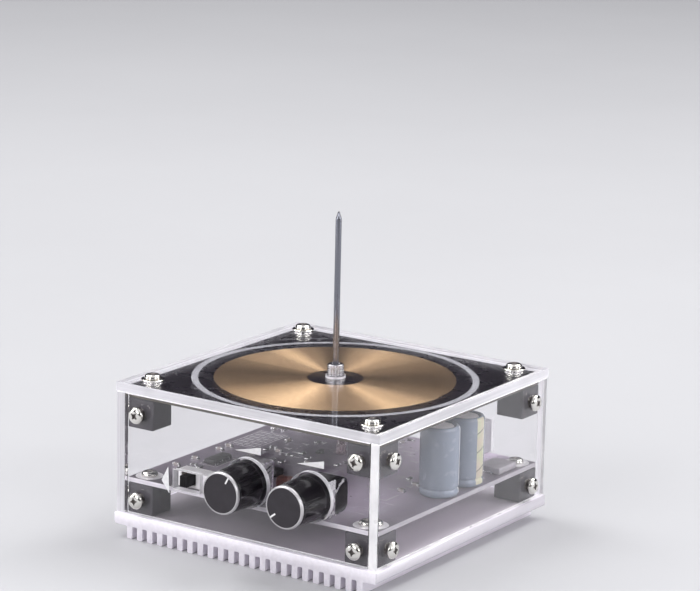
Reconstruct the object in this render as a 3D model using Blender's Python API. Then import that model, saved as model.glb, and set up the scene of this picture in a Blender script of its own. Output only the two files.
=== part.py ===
"""Desktop high-voltage coil in a clear acrylic case on a finned heat sink.

Units are metres, +Z is up.  The origin lies on the underside of the centre
fin, in the middle of the case; the control panel faces -Y and +X runs to the
right along it.
"""

import math

import bmesh
import bpy
from mathutils import Matrix, Vector

MM = 0.001

# ---------------------------------------------------------------- dimensions
CASE = 100.0            # outside width and depth of the acrylic case
PANEL_T = 3.0           # acrylic sheet
GAP = 0.2               # clearance kept between parts that rest on each other

SINK_W = 101.0          # heat sink plate, just proud of the case
SINK_FIN_H = 4.1
SINK_PLATE_T = 3.9
FIN_COUNT = 23
FIN_PITCH = 4.03
FIN_T = 2.2

BLOCK = 9.8             # corner blocks
BLOCK_C = 41.9          # their centre lines, from the middle of the case
TAP_R = 1.7             # screw holes in the blocks
TAP_DEPTH = 3.0

BOARD = 93.4            # both circuit boards are square
BOARD_T = 1.6

SCREW_R = 1.4           # M3 shank
SCREW_HOLE_R = 1.8
HEAD_R = 2.75
HEAD_H = 1.6

LID = 100.4
COIL_R_OUT = 39.0
COIL_R_IN = 9.05
COIL_T = 0.1

KNOB_X = (0.9, 24.8)    # control axes on the front panel
KNOB_Z = 26.9
KNOB_HOLE_R = 8.1
KNOB_BASE_R = 7.3
KNOB_FACE_R = 6.85
KNOB_BACK_Y = -48.4
KNOB_FACE_Y = -63.5
KNOB_MARK = (29.0, -128.0)   # clock angle of each pointer line
SHAFT_R = 3.0
BUSH_R = 3.9
BORE_R = 3.3

POT_W = 9.8
POT_TOP = (33.7, 32.0)
POT_DEPTH = (6.0, 12.4)

SWITCH_X = -22.2        # middle of the slide switch
SWITCH_W = 14.6
SWITCH_H = 5.4
SWITCH_D = 6.0
LEVER_W = 3.0
SWITCH_SLOT = (-26.9, -21.3)
LEVER_H = 3.6
LEVER_X = -23.1          # at the right-hand end of its 2 mm travel
LEVER_FRONT_Y = -50.4
SLOT_W = 10.4
SLOT_H = 6.2

CAP_R = 6.35
CAP_H = 22.8
CAP_XY = ((40.3, -2.8), (40.3, 12.0))

JACK_X = 24.4
JACK_W = 9.0
JACK_H = 10.8
JACK_D = 14.2
JACK_BORE_R = 3.2
JACK_BORE_DEPTH = 9.5
JACK_BORE_Z = 6.6

ROD_R = 1.0
ROD_TOP = 105.0
TERMINAL_R = 2.65
TERMINAL_TOP = 54.9
TERMINAL_HOLE_R = 3.3   # hole in the cover round the terminal

# heights that follow from the stack
Z_SINK = SINK_FIN_H + SINK_PLATE_T
Z_LOW_BLOCK = Z_SINK + GAP
Z_BOARD = Z_LOW_BLOCK + BLOCK + GAP
Z_BOARD_TOP = Z_BOARD + BOARD_T
Z_HIGH_BLOCK = 36.4
Z_COIL_BOARD = Z_HIGH_BLOCK + BLOCK + 0.1
Z_COIL = Z_COIL_BOARD + BOARD_T + 0.05
Z_PANEL = Z_SINK + GAP
Z_PANEL_TOP = 48.0
Z_LID = 48.2
Z_LID_TOP = Z_LID + PANEL_T
SIDE_SCREW_Z = (Z_LOW_BLOCK + BLOCK / 2, Z_HIGH_BLOCK + BLOCK / 2)
HALF = CASE / 2
INNER = HALF - PANEL_T


# ------------------------------------------------------------------- helpers
def clear_scene():
    for obj in list(bpy.data.objects):
        bpy.data.objects.remove(obj, do_unlink=True)


def material(name, colour, roughness, metallic=0.0, alpha=1.0, transmission=0.0):
    mat = bpy.data.materials.new(name)
    mat.use_nodes = True
    shader = mat.node_tree.nodes["Principled BSDF"]
    shader.inputs["Base Color"].default_value = (*colour, 1.0)
    shader.inputs["Roughness"].default_value = roughness
    shader.inputs["Metallic"].default_value = metallic
    shader.inputs["Alpha"].default_value = alpha
    shader.inputs["Transmission Weight"].default_value = transmission
    mat.diffuse_color = (*colour, alpha)
    return mat


def add_object(name, mesh, mat=None, location=(0, 0, 0), rotation=(0, 0, 0), parent=None):
    obj = bpy.data.objects.new(name, mesh)
    bpy.context.collection.objects.link(obj)
    obj.location = Vector(location) * MM
    obj.rotation_euler = rotation
    if mat is not None and not mesh.materials:
        mesh.materials.append(mat)
    if parent is not None:
        obj.parent = parent
    return obj


def add_empty(name, location):
    empty = bpy.data.objects.new(name, None)
    empty.empty_display_type = 'ARROWS'
    empty.empty_display_size = 8 * MM
    bpy.context.collection.objects.link(empty)
    empty.location = Vector(location) * MM
    return empty


def finish_bmesh(bm, name, smooth=False):
    """Scale a millimetre bmesh to metres and store it."""
    bmesh.ops.scale(bm, vec=(MM, MM, MM), verts=bm.verts)
    bmesh.ops.recalc_face_normals(bm, faces=bm.faces)
    mesh = bpy.data.meshes.new(name)
    bm.to_mesh(mesh)
    bm.free()
    if smooth:
        mesh.shade_smooth()
        mesh.set_sharp_from_angle(angle=math.radians(32))
    return mesh


def box_bmesh(lo, hi, bevel=0.0, segments=1):
    bm = bmesh.new()
    size = [h - l for l, h in zip(lo, hi)]
    centre = [(h + l) / 2 for l, h in zip(lo, hi)]
    bmesh.ops.create_cube(bm, size=1.0)
    bmesh.ops.scale(bm, vec=size, verts=bm.verts)
    bmesh.ops.translate(bm, vec=centre, verts=bm.verts)
    if bevel:
        bmesh.ops.bevel(bm, geom=bm.edges[:], offset=bevel, segments=segments,
                        profile=0.5, affect='EDGES')
    return bm


def box_mesh(name, lo, hi, bevel=0.0, segments=1):
    return finish_bmesh(box_bmesh(lo, hi, bevel, segments), name, smooth=bevel > 0)


def turned_bmesh(profile, segments=24):
    """Spin (radius, height) points round Z; the ends lie on the axis."""
    bm = bmesh.new()
    rings = []
    for r, z in profile:
        if r < 1e-6:
            rings.append([bm.verts.new((0, 0, z))])
        else:
            rings.append([bm.verts.new((r * math.cos(2 * math.pi * i / segments),
                                        r * math.sin(2 * math.pi * i / segments), z))
                          for i in range(segments)])
    for a, b in zip(rings, rings[1:]):
        for i in range(segments):
            j = (i + 1) % segments
            if len(a) == 1 and len(b) == 1:
                continue
            if len(a) == 1:
                bm.faces.new((a[0], b[i], b[j]))
            elif len(b) == 1:
                bm.faces.new((a[i], b[0], a[j]))
            else:
                bm.faces.new((a[i], b[i], b[j], a[j]))
    return bm


def turned_mesh(name, profile, segments=24):
    return finish_bmesh(turned_bmesh(profile, segments), name, smooth=True)


def aim(direction):
    """Rotation that carries +Z onto the given direction."""
    return Vector(direction).to_track_quat('Z', 'Y').to_euler()


def hidden(obj):
    obj.hide_render = True
    obj.display_type = 'WIRE'
    obj.hide_viewport = False
    return obj


def cylinder_cutter(name, centre, direction, radius, length, segments=24):
    """Hidden cylinder from centre along direction."""
    bm = bmesh.new()
    bmesh.ops.create_cone(bm, cap_ends=True, segments=segments, radius1=radius,
                          radius2=radius, depth=length)
    bmesh.ops.translate(bm, vec=(0, 0, length / 2), verts=bm.verts)
    mesh = finish_bmesh(bm, name)
    return hidden(add_object(name, mesh, location=centre, rotation=aim(direction)))


def box_cutter(name, lo, hi):
    return hidden(add_object(name, box_mesh(name, lo, hi)))


def boolean(obj, other, operation='DIFFERENCE'):
    mod = obj.modifiers.new(other.name, 'BOOLEAN')
    mod.operation = operation
    mod.solver = 'EXACT'
    mod.object = other
    return mod


def bake(obj):
    """Replace the object's mesh by its evaluated one, so copies can share it."""
    deps = bpy.context.evaluated_depsgraph_get()
    mesh = bpy.data.meshes.new_from_object(obj.evaluated_get(deps))
    obj.modifiers.clear()
    obj.data = mesh
    return mesh


# ----------------------------------------------------------------- materials
clear_scene()

aluminium = material("satin_aluminium", (0.74, 0.70, 0.77), 0.38, 1.0)
acrylic = material("clear_acrylic", (0.94, 0.93, 0.96), 0.05, 0.0, 0.3, 0.9)
nylon = material("black_nylon", (0.065, 0.058, 0.068), 0.5)
board_black = material("black_board", (0.032, 0.025, 0.032), 0.42)
gold = material("gold_track", (0.62, 0.42, 0.22), 0.28, 1.0)
nickel = material("nickel_plate", (0.72, 0.70, 0.66), 0.2, 1.0)
steel = material("stainless_steel", (0.62, 0.60, 0.60), 0.22, 1.0)
knob_black = material("gloss_black_plastic", (0.02, 0.018, 0.022), 0.18)
pot_metal = material("plated_steel", (0.55, 0.53, 0.54), 0.35, 1.0)
switch_metal = material("bright_tinplate", (0.78, 0.77, 0.78), 0.3, 1.0)
switch_black = material("black_lever", (0.02, 0.018, 0.02), 0.35)
sleeve = material("blue_grey_sleeve", (0.27, 0.31, 0.36), 0.3)
jack_black = material("jack_plastic", (0.03, 0.028, 0.032), 0.45)
brown_film = material("red_brown_epoxy", (0.25, 0.09, 0.07), 0.35)
ic_black = material("ic_epoxy", (0.03, 0.03, 0.033), 0.5)
led_red = material("red_lens", (0.7, 0.18, 0.25), 0.15, 0.0, 0.7, 0.5)

case = add_empty("case_frame", (0, 0, 0))

# ----------------------------------------------------------------- heat sink
bm = bmesh.new()
profile = [(-SINK_W / 2, Z_SINK - 0.25), (-SINK_W / 2, SINK_FIN_H + 0.9),
           (-SINK_W / 2 + 0.27, SINK_FIN_H + 0.27), (-SINK_W / 2 + 0.9, SINK_FIN_H)]
soft = 0.4
for i in range(FIN_COUNT):
    x = (i - (FIN_COUNT - 1) / 2) * FIN_PITCH
    l, r = x - FIN_T / 2, x + FIN_T / 2
    profile += [(l, SINK_FIN_H), (l, soft), (l + soft, 0),
                (r - soft, 0), (r, soft), (r, SINK_FIN_H)]
profile += [(SINK_W / 2 - 0.9, SINK_FIN_H), (SINK_W / 2 - 0.27, SINK_FIN_H + 0.27),
            (SINK_W / 2, SINK_FIN_H + 0.9), (SINK_W / 2, Z_SINK - 0.25), (SINK_W / 2 - 0.25, Z_SINK),
            (-SINK_W / 2 + 0.25, Z_SINK)]
face = bm.faces.new([bm.verts.new((x, -SINK_W / 2, z)) for x, z in profile])
out = bmesh.ops.extrude_face_region(bm, geom=[face])
bmesh.ops.translate(bm, vec=(0, SINK_W, 0),
                    verts=[v for v in out["geom"] if isinstance(v, bmesh.types.BMVert)])
add_object("heat_sink", finish_bmesh(bm, "heat_sink", smooth=True), aluminium, parent=case)

# ------------------------------------------------------------- corner blocks
half = BLOCK / 2
block = add_object("block_lower_back_right",
                   box_mesh("corner_block", (-half, -half, -half), (half, half, half), 0.3),
                   nylon)
taps = [cylinder_cutter("tap_x", (half - TAP_DEPTH, 0, 0), (1, 0, 0), TAP_R, 6, 12),
        cylinder_cutter("tap_y", (0, half - TAP_DEPTH, 0), (0, 1, 0), TAP_R, 6, 12),
        cylinder_cutter("tap_z", (0, 0, half - TAP_DEPTH), (0, 0, 1), TAP_R, 6, 12)]
for tap in taps:
    boolean(block, tap)
block_mesh = bake(block)
block_mesh.name = "corner_block_tapped"

corners = {"back_right": (1, 1, 0), "back_left": (-1, 1, 90),
           "front_left": (-1, -1, 180), "front_right": (1, -1, 270)}
for level, z in (("lower", Z_LOW_BLOCK), ("upper", Z_HIGH_BLOCK)):
    for corner, (sx, sy, turn) in corners.items():
        name = "block_%s_%s" % (level, corner)
        obj = bpy.data.objects.get(name) or add_object(name, block_mesh)
        obj.location = Vector((sx * BLOCK_C, sy * BLOCK_C, z + half)) * MM
        obj.rotation_euler = (0, 0, math.radians(turn))
        obj.parent = case


# -------------------------------------------------------------------- panels
def drill(obj, holes, direction, radius, segments=14, tag="hole"):
    """Cut through holes, each started well outside the sheet."""
    for i, centre in enumerate(holes):
        start = Vector(centre) - Vector(direction) * 10
        boolean(obj, cylinder_cutter("%s_%s_%d" % (obj.name, tag, i), start, direction,
                                     radius, 20, segments))


side_holes = [(0, y, z) for y in (-BLOCK_C, BLOCK_C) for z in SIDE_SCREW_Z]
face_holes = [(x, 0, z) for x in (-BLOCK_C, BLOCK_C) for z in SIDE_SCREW_Z]

for name, sx in (("left_panel", -1), ("right_panel", 1)):
    lo, hi = sorted((sx * INNER, sx * HALF))
    panel = add_object(name, box_mesh(name, (lo, -HALF, Z_PANEL), (hi, HALF, Z_PANEL_TOP)),
                       acrylic, parent=case)
    drill(panel, [(sx * (HALF - 1.5), y, z) for _, y, z in side_holes], (1, 0, 0), SCREW_HOLE_R)

for name, sy in (("front_panel", -1), ("back_panel", 1)):
    lo, hi = sorted((sy * INNER, sy * HALF))
    panel = add_object(name, box_mesh(name, (-INNER + GAP, lo, Z_PANEL),
                                      (INNER - GAP, hi, Z_PANEL_TOP)),
                       acrylic, parent=case)
    drill(panel, [(x, sy * (HALF - 1.5), z) for x, _, z in face_holes], (0, 1, 0), SCREW_HOLE_R)
    if sy < 0:
        drill(panel, [(x, -HALF + 1.5, KNOB_Z) for x in KNOB_X], (0, 1, 0), KNOB_HOLE_R, 32, "knob")
        zc = Z_BOARD_TOP + 3.2
        boolean(panel, box_cutter("switch_window",
                                  (SWITCH_X - SLOT_W / 2, -60, zc - SLOT_H / 2),
                                  (SWITCH_X + SLOT_W / 2, -40, zc + SLOT_H / 2)))
    else:
        boolean(panel, box_cutter("jack_window",
                                  (JACK_X - JACK_W / 2 - 0.3, 40, Z_BOARD_TOP),
                                  (JACK_X + JACK_W / 2 + 0.3, 60, Z_BOARD_TOP + JACK_H + 0.5)))

# ----------------------------------------------------------- lid and boards
corner_xy = [(sx * BLOCK_C, sy * BLOCK_C) for sx in (-1, 1) for sy in (-1, 1)]

lid = add_object("top_cover", box_mesh("top_cover", (-LID / 2, -LID / 2, Z_LID),
                                       (LID / 2, LID / 2, Z_LID_TOP), 0.2),
                 acrylic, parent=case)
drill(lid, [(x, y, Z_LID) for x, y in corner_xy], (0, 0, 1), SCREW_HOLE_R)
drill(lid, [(0, 0, Z_LID)], (0, 0, 1), TERMINAL_HOLE_R, 24, "centre")

coil_board = add_object("coil_board", box_mesh("coil_board",
                                               (-BOARD / 2, -BOARD / 2, Z_COIL_BOARD),
                                               (BOARD / 2, BOARD / 2, Z_COIL_BOARD + BOARD_T)),
                        board_black, parent=case)
drill(coil_board, [(x, y, Z_COIL_BOARD) for x, y in corner_xy] + [(0, 0, Z_COIL_BOARD)],
      (0, 0, 1), SCREW_HOLE_R)

coil = turned_bmesh([(COIL_R_IN, Z_COIL), (COIL_R_OUT, Z_COIL),
                     (COIL_R_OUT, Z_COIL + COIL_T), (COIL_R_IN, Z_COIL + COIL_T),
                     (COIL_R_IN, Z_COIL)], 48)
bmesh.ops.remove_doubles(coil, verts=coil.verts, dist=0.001)
add_object("spiral_coil", finish_bmesh(coil, "spiral_coil"), gold, parent=case)

main_board = add_object("main_board", box_mesh("main_board",
                                               (-BOARD / 2, -BOARD / 2, Z_BOARD),
                                               (BOARD / 2, BOARD / 2, Z_BOARD_TOP)),
                        board_black, parent=case)
drill(main_board, [(x, y, Z_BOARD) for x, y in corner_xy], (0, 0, 1), SCREW_HOLE_R)


# -------------------------------------------------------------------- screws
def pan_screw(name, length, washer=0.0):
    """Pan head on +Z, seat at z = 0, shank below it."""
    lift = washer
    points = [(0, lift + HEAD_H), (1.7, lift + HEAD_H - 0.06), (2.4, lift + HEAD_H - 0.4),
              (HEAD_R, lift + 0.7), (HEAD_R, lift)]
    if washer:
        points += [(3.75, lift), (3.75, 0)]
    points += [(SCREW_R, 0), (SCREW_R, -length + 0.4), (SCREW_R - 0.4, -length), (0, -length)]
    return turned_mesh(name, points, 12)


short_screw = pan_screw("pan_screw_m3x6", 5.9)
board_screw = pan_screw("pan_screw_m3x5", 4.4)
cover_screw = pan_screw("pan_screw_washer_m3x8", 7.7, 0.5)

for corner, (sx, sy, turn) in corners.items():
    x, y = sx * BLOCK_C, sy * BLOCK_C
    add_object("cover_screw_" + corner, cover_screw, nickel, (x, y, Z_LID_TOP + GAP), parent=case)
    add_object("board_screw_" + corner, board_screw, nickel, (x, y, Z_BOARD_TOP + GAP), parent=case)
    for level, z in zip(("lower", "upper"), SIDE_SCREW_Z):
        wall = "front" if sy < 0 else "back"
        hand = "left" if sx < 0 else "right"
        add_object("%s_screw_%s_%s" % (wall, level, hand), short_screw, nickel,
                   (x, sy * (HALF + GAP), z), aim((0, sy, 0)), case)
        add_object("%s_screw_%s_%s" % (hand, level, wall), short_screw, nickel,
                   (sx * (HALF + GAP), y, z), aim((sx, 0, 0)), case)

# ------------------------------------------------ controls on the front panel
for side, x, mark in zip(("left", "right"), KNOB_X, KNOB_MARK):
    axis = add_empty(side + "_knob_axis", (x, KNOB_BACK_Y, KNOB_Z))
    axis.rotation_euler = (0, math.radians(mark), 0)

    length = KNOB_BACK_Y - KNOB_FACE_Y
    knob_points = [(0, length), (KNOB_FACE_R - 0.7, length), (KNOB_FACE_R - 0.15, length - 0.55),
                   (KNOB_FACE_R, length - 1.0), (KNOB_BASE_R - 0.15, 1.2), (KNOB_BASE_R, 0.4),
                   (KNOB_BASE_R - 0.35, 0), (4.4, 0), (4.4, 4.4), (BORE_R, 4.4), (BORE_R, 12.0),
                   (0, 12.0)]
    knob = add_object(side + "_knob", turned_mesh(side + "_knob", knob_points, 24), knob_black,
                      rotation=aim((0, -1, 0)), parent=axis)
    groove = box_cutter(side + "_pointer", (-0.35, -20.0, 3.9), (0.35, -length + 0.25, 6.4))
    groove.parent = axis
    boolean(knob, groove)

    shaft = turned_mesh(side + "_shaft", [(0, 15.1), (SHAFT_R - 0.4, 15.1), (SHAFT_R, 14.7),
                                          (SHAFT_R, 0), (0, 0)], 20)
    axle = add_object(side + "_shaft", shaft, pot_metal, rotation=aim((0, -1, 0)), parent=axis)
    axle.location = Vector((0, 4.0, 0)) * MM

for side, x, depth, top in zip(("left", "right"), KNOB_X, POT_DEPTH, POT_TOP):
    front = -46.2
    lo = (x - POT_W / 2, front, Z_BOARD_TOP + 0.3)
    hi = (x + POT_W / 2, front + depth, top)
    pot = add_object(side + "_potentiometer", box_mesh(side + "_potentiometer", lo, hi, 0.4),
                     pot_metal, parent=case)
    boolean(pot, cylinder_cutter(side + "_bushing", (x, front + 2, KNOB_Z), (0, -1, 0),
                                 BUSH_R, 6.0, 24), 'UNION')
    boolean(pot, cylinder_cutter(side + "_bearing", (x, front + 3.0, KNOB_Z), (0, -1, 0),
                                 BORE_R, 20.0, 24))

zs = Z_BOARD_TOP + 3.2
frame = add_object("switch_frame",
                   box_mesh("switch_frame", (SWITCH_X - SWITCH_W / 2, -46.2, Z_BOARD_TOP + GAP),
                            (SWITCH_X + SWITCH_W / 2, -46.2 + SWITCH_D,
                             Z_BOARD_TOP + GAP + SWITCH_H), 0.3),
                   switch_metal, parent=case)
boolean(frame, box_cutter("switch_pocket", (SWITCH_SLOT[0], -60, zs - 2.1),
                          (SWITCH_SLOT[1], -42.8, zs + 2.1)))

lever_axis = add_empty("switch_lever_track", (LEVER_X, -43.1, zs))
lever_bm = box_bmesh((-LEVER_W / 2, LEVER_FRONT_Y + 43.1, -LEVER_H / 2), (LEVER_W / 2, 0, LEVER_H / 2),
                     0.25)
add_object("switch_lever", finish_bmesh(lever_bm, "switch_lever", smooth=True), switch_black,
           parent=lever_axis)

# --------------------------------------------------- discharge point and hub
seat = Z_COIL_BOARD + BOARD_T + GAP
hub = turned_bmesh([(0, TERMINAL_TOP - 3.6), (1.3, TERMINAL_TOP - 3.6), (1.3, TERMINAL_TOP),
                    (TERMINAL_R - 0.3, TERMINAL_TOP), (TERMINAL_R, TERMINAL_TOP - 0.3),
                    (TERMINAL_R, seat + 0.3), (TERMINAL_R - 0.3, seat), (SCREW_R, seat),
                    (SCREW_R, Z_COIL_BOARD - 2.2), (0, Z_COIL_BOARD - 2.2)], 20)
add_object("terminal_nut", finish_bmesh(hub, "terminal_nut", smooth=True), nickel, parent=case)
needle = turned_mesh("needle_electrode",
                     [(0, ROD_TOP), (0.3, ROD_TOP - 0.15), (ROD_R, ROD_TOP - 2.4),
                      (ROD_R, TERMINAL_TOP - 3.3), (0, TERMINAL_TOP - 3.3)], 16)
add_object("needle_electrode", needle, steel, parent=case)

# ------------------------------------------------------- parts on the board
cap_mesh = turned_mesh("electrolytic_can",
                       [(0, CAP_H - 0.35), (CAP_R - 1.1, CAP_H - 0.35), (CAP_R - 0.9, CAP_H),
                        (CAP_R - 0.4, CAP_H - 0.1), (CAP_R, CAP_H - 0.7), (CAP_R, 3.1),
                        (CAP_R - 0.45, 2.5), (CAP_R, 1.9), (CAP_R, 0.5), (CAP_R - 0.5, 0),
                        (0, 0)], 20)
for name, (x, y) in zip(("capacitor_front", "capacitor_rear"), CAP_XY):
    add_object(name, cap_mesh, sleeve, (x, y, Z_BOARD_TOP + GAP), parent=case)

jack_z = Z_BOARD_TOP + GAP
jack = add_object("dc_jack", box_mesh("dc_jack", (JACK_X - JACK_W / 2, 50.6 - JACK_D, jack_z),
                                      (JACK_X + JACK_W / 2, 50.6, jack_z + JACK_H), 0.3),
                  jack_black, parent=case)
boolean(jack, cylinder_cutter("jack_barrel", (JACK_X, 50.6 - JACK_BORE_DEPTH, jack_z + JACK_BORE_Z),
                              (0, 1, 0), JACK_BORE_R, 20, 24))

add_object("film_capacitor", box_mesh("film_capacitor", (2.4, -35.6, Z_BOARD_TOP + GAP),
                                      (8.4, -31.8, Z_BOARD_TOP + GAP + 6.6), 0.9, 2),
           brown_film, parent=case)
add_object("control_ic", box_mesh("control_ic", (-36.2, -20.5, Z_BOARD_TOP + GAP),
                                  (-32.3, -10.6, Z_BOARD_TOP + GAP + 1.5), 0.15),
           ic_black, parent=case)
led = turned_mesh("indicator_led", [(0, 4.9), (0.8, 4.7), (1.3, 4.2), (1.5, 3.5), (1.5, 1.0),
                                    (1.9, 1.0), (1.9, 0), (0, 0)], 16)
add_object("indicator_led", led, led_red, (-7.3, 16.2, Z_BOARD_TOP + GAP), parent=case)

# two power transistors flat on the heat sink, under the board
for side, x in (("left", -14.0), ("right", 9.0)):
    body = add_object("power_transistor_" + side,
                      box_mesh("power_transistor_" + side, (x - 5.0, 12.0, Z_SINK + GAP),
                               (x + 5.0, 21.0, Z_SINK + GAP + 4.5), 0.3), ic_black, parent=case)
    tab = box_cutter("tab_" + side, (x - 4.9, 20.5, Z_SINK + GAP), (x + 4.9, 27.5, Z_SINK + GAP + 1.3))
    boolean(body, tab, 'UNION')
    boolean(body, cylinder_cutter("tab_hole_" + side, (x, 24.6, Z_SINK - 5), (0, 0, 1), 1.8, 20, 16))
    for i in (-1, 0, 1):
        leg_x = x + i * 2.54
        leg = box_bmesh((leg_x - 0.4, 8.6, Z_SINK + 2.4), (leg_x + 0.4, 12.5, Z_SINK + 2.9))
        leg_mesh = finish_bmesh(leg, "leg")
        boolean(body, hidden(add_object("leg_%s_%d" % (side, i + 1), leg_mesh)), 'UNION')
        boolean(body, box_cutter("leg_up_%s_%d" % (side, i + 1),
                                 (leg_x - 0.35, 8.7, Z_SINK + 2.5),
                                 (leg_x + 0.35, 9.2, Z_BOARD - GAP)), 'UNION')
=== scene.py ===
import math
import random

import bmesh
import bpy
from mathutils import Matrix, Vector


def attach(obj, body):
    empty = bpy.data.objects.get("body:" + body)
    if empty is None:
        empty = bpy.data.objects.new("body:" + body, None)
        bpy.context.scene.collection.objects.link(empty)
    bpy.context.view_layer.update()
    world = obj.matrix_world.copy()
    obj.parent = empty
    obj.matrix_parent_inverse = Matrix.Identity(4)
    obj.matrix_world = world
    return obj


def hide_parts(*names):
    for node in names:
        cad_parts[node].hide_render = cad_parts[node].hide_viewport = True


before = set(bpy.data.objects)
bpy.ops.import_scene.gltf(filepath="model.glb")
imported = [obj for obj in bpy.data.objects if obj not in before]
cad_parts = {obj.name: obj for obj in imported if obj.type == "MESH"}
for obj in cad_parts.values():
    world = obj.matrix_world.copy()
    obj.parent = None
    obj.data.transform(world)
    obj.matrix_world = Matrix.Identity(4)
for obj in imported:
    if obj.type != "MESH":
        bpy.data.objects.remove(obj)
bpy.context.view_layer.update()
MM = 0.001
rng = random.Random(7)
sc = bpy.context.scene
sc.view_settings.view_transform = 'Standard'
sc.view_settings.look = 'None'
sc.view_settings.exposure = 0.0

# ============================================================ dimensions (mm)
Z_SINK, FIN_H, SINK_W = 8.0, 4.1, 101.0
BLOCK, BLOCK_C = 9.8, 41.9
Z_LOW, Z_HIGH = 8.2, 36.4
Z_BOARD, BOARD_T, BOARD = 18.2, 1.6, 93.4
Z_BT = Z_BOARD + BOARD_T
Z_CB = 46.3
Z_CBT = Z_CB + BOARD_T
Z_LID, LID_T, LID = 48.2, 3.0, 100.4
Z_LT = Z_LID + LID_T
PANEL_B, PANEL_T = 8.2, 48.0
HALF, INNER = 50.0, 47.0
SIDE_Z = (Z_LOW + BLOCK / 2, Z_HIGH + BLOCK / 2)
KNOB_X, KNOB_Z = (0.9, 24.8), 26.9
KNOB_BACK, KNOB_FACE = -48.4, -63.5
MARK = (29.0, -128.0)
SW_X, SW_Z, LEVER_X = -22.2, 23.0, -23.1
corners = {"back_right": (1, 1, 0), "back_left": (-1, 1, 90),
           "front_left": (-1, -1, 180), "front_right": (1, -1, 270)}


# ================================================================= materials
class Mat:
    """A Principled material with small helpers for procedural detail."""

    def __init__(self, name, base, rough, metal=0.0, **sockets):
        self.m = bpy.data.materials.new(name)
        self.m.use_nodes = True
        self.t = self.m.node_tree
        self.b = self.t.nodes["Principled BSDF"]
        self.base = base
        self.rough = rough
        self.b.inputs["Base Color"].default_value = (*base, 1)
        self.b.inputs["Roughness"].default_value = rough
        self.b.inputs["Metallic"].default_value = metal
        for k, v in sockets.items():
            self.b.inputs[k.replace("_", " ")].default_value = v
        self.coord = self.t.nodes.new("ShaderNodeTexCoord")
        self.normal = None

    def node(self, kind, **props):
        n = self.t.nodes.new(kind)
        for k, v in props.items():
            setattr(n, k, v)
        return n

    def link(self, a, b):
        self.t.links.new(a, b)

    def noise(self, scale, stretch=(1, 1, 1), detail=4.0, rough=0.55, rot=(0, 0, 0)):
        mp = self.node("ShaderNodeMapping")
        mp.inputs["Scale"].default_value = stretch
        mp.inputs["Rotation"].default_value = rot
        self.link(self.coord.outputs["Object"], mp.inputs["Vector"])
        n = self.node("ShaderNodeTexNoise")
        n.inputs["Scale"].default_value = scale
        n.inputs["Detail"].default_value = detail
        n.inputs["Roughness"].default_value = rough
        self.link(mp.outputs["Vector"], n.inputs["Vector"])
        return n.outputs["Fac"]

    def ramp(self, src, lo, hi, a=0.3, b=0.7):
        n = self.node("ShaderNodeMapRange")
        n.inputs["From Min"].default_value = a
        n.inputs["From Max"].default_value = b
        n.inputs["To Min"].default_value = lo
        n.inputs["To Max"].default_value = hi
        self.link(src, n.inputs["Value"])
        return n.outputs["Result"]

    def vary_rough(self, scale, amount, stretch=(1, 1, 1), detail=4.0):
        f = self.noise(scale, stretch, detail)
        self.link(self.ramp(f, max(0.0, self.rough - amount), self.rough + amount),
                  self.b.inputs["Roughness"])
        return self

    def vary_colour(self, scale, other, stretch=(1, 1, 1), detail=5.0, a=0.35, b=0.65):
        f = self.noise(scale, stretch, detail)
        mix = self.node("ShaderNodeMix", data_type='RGBA')
        mix.inputs[6].default_value = (*self.base, 1)
        mix.inputs[7].default_value = (*other, 1)
        self.link(self.ramp(f, 0, 1, a, b), mix.inputs[0])
        self.link(mix.outputs[2], self.b.inputs["Base Color"])
        self.colour_out = mix.outputs[2]
        return self

    def bump(self, scale, strength, distance, stretch=(1, 1, 1), detail=3.0, height=None):
        n = self.node("ShaderNodeBump")
        n.inputs["Strength"].default_value = strength
        n.inputs["Distance"].default_value = distance
        self.link(height or self.noise(scale, stretch, detail), n.inputs["Height"])
        if self.normal is not None:
            self.link(self.normal, n.inputs["Normal"])
        self.normal = n.outputs["Normal"]
        self.link(self.normal, self.b.inputs["Normal"])
        return self


M = {}
# polished acrylic sheet: faces and cut edges
M["acrylic"] = Mat("acrylic_face", (0.985, 0.98, 0.99), 0.024, 0, Transmission_Weight=1.0, IOR=1.49)
M["acrylic"].vary_rough(90, 0.006, detail=6).bump(35, 0.012, 0.0004, detail=2)
for key, name, along in (("edge", "acrylic_cut_edge", (1, 1, 0.02)), ("lid_edge", "acrylic_lid_edge", (0.02, 0.02, 1))):
    # sawn edge: faint lines along its length and a little cloudiness
    M[key] = Mat(name, (0.85, 0.835, 0.875), 0.33, 0, Transmission_Weight=0.22, IOR=1.49)
    M[key].vary_rough(140, 0.05, detail=2).bump(2600, 0.10, 0.00001, along, detail=2)
    M[key].vary_colour(1500, (0.66, 0.645, 0.69), along, detail=2, a=0.3, b=0.8)

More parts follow.
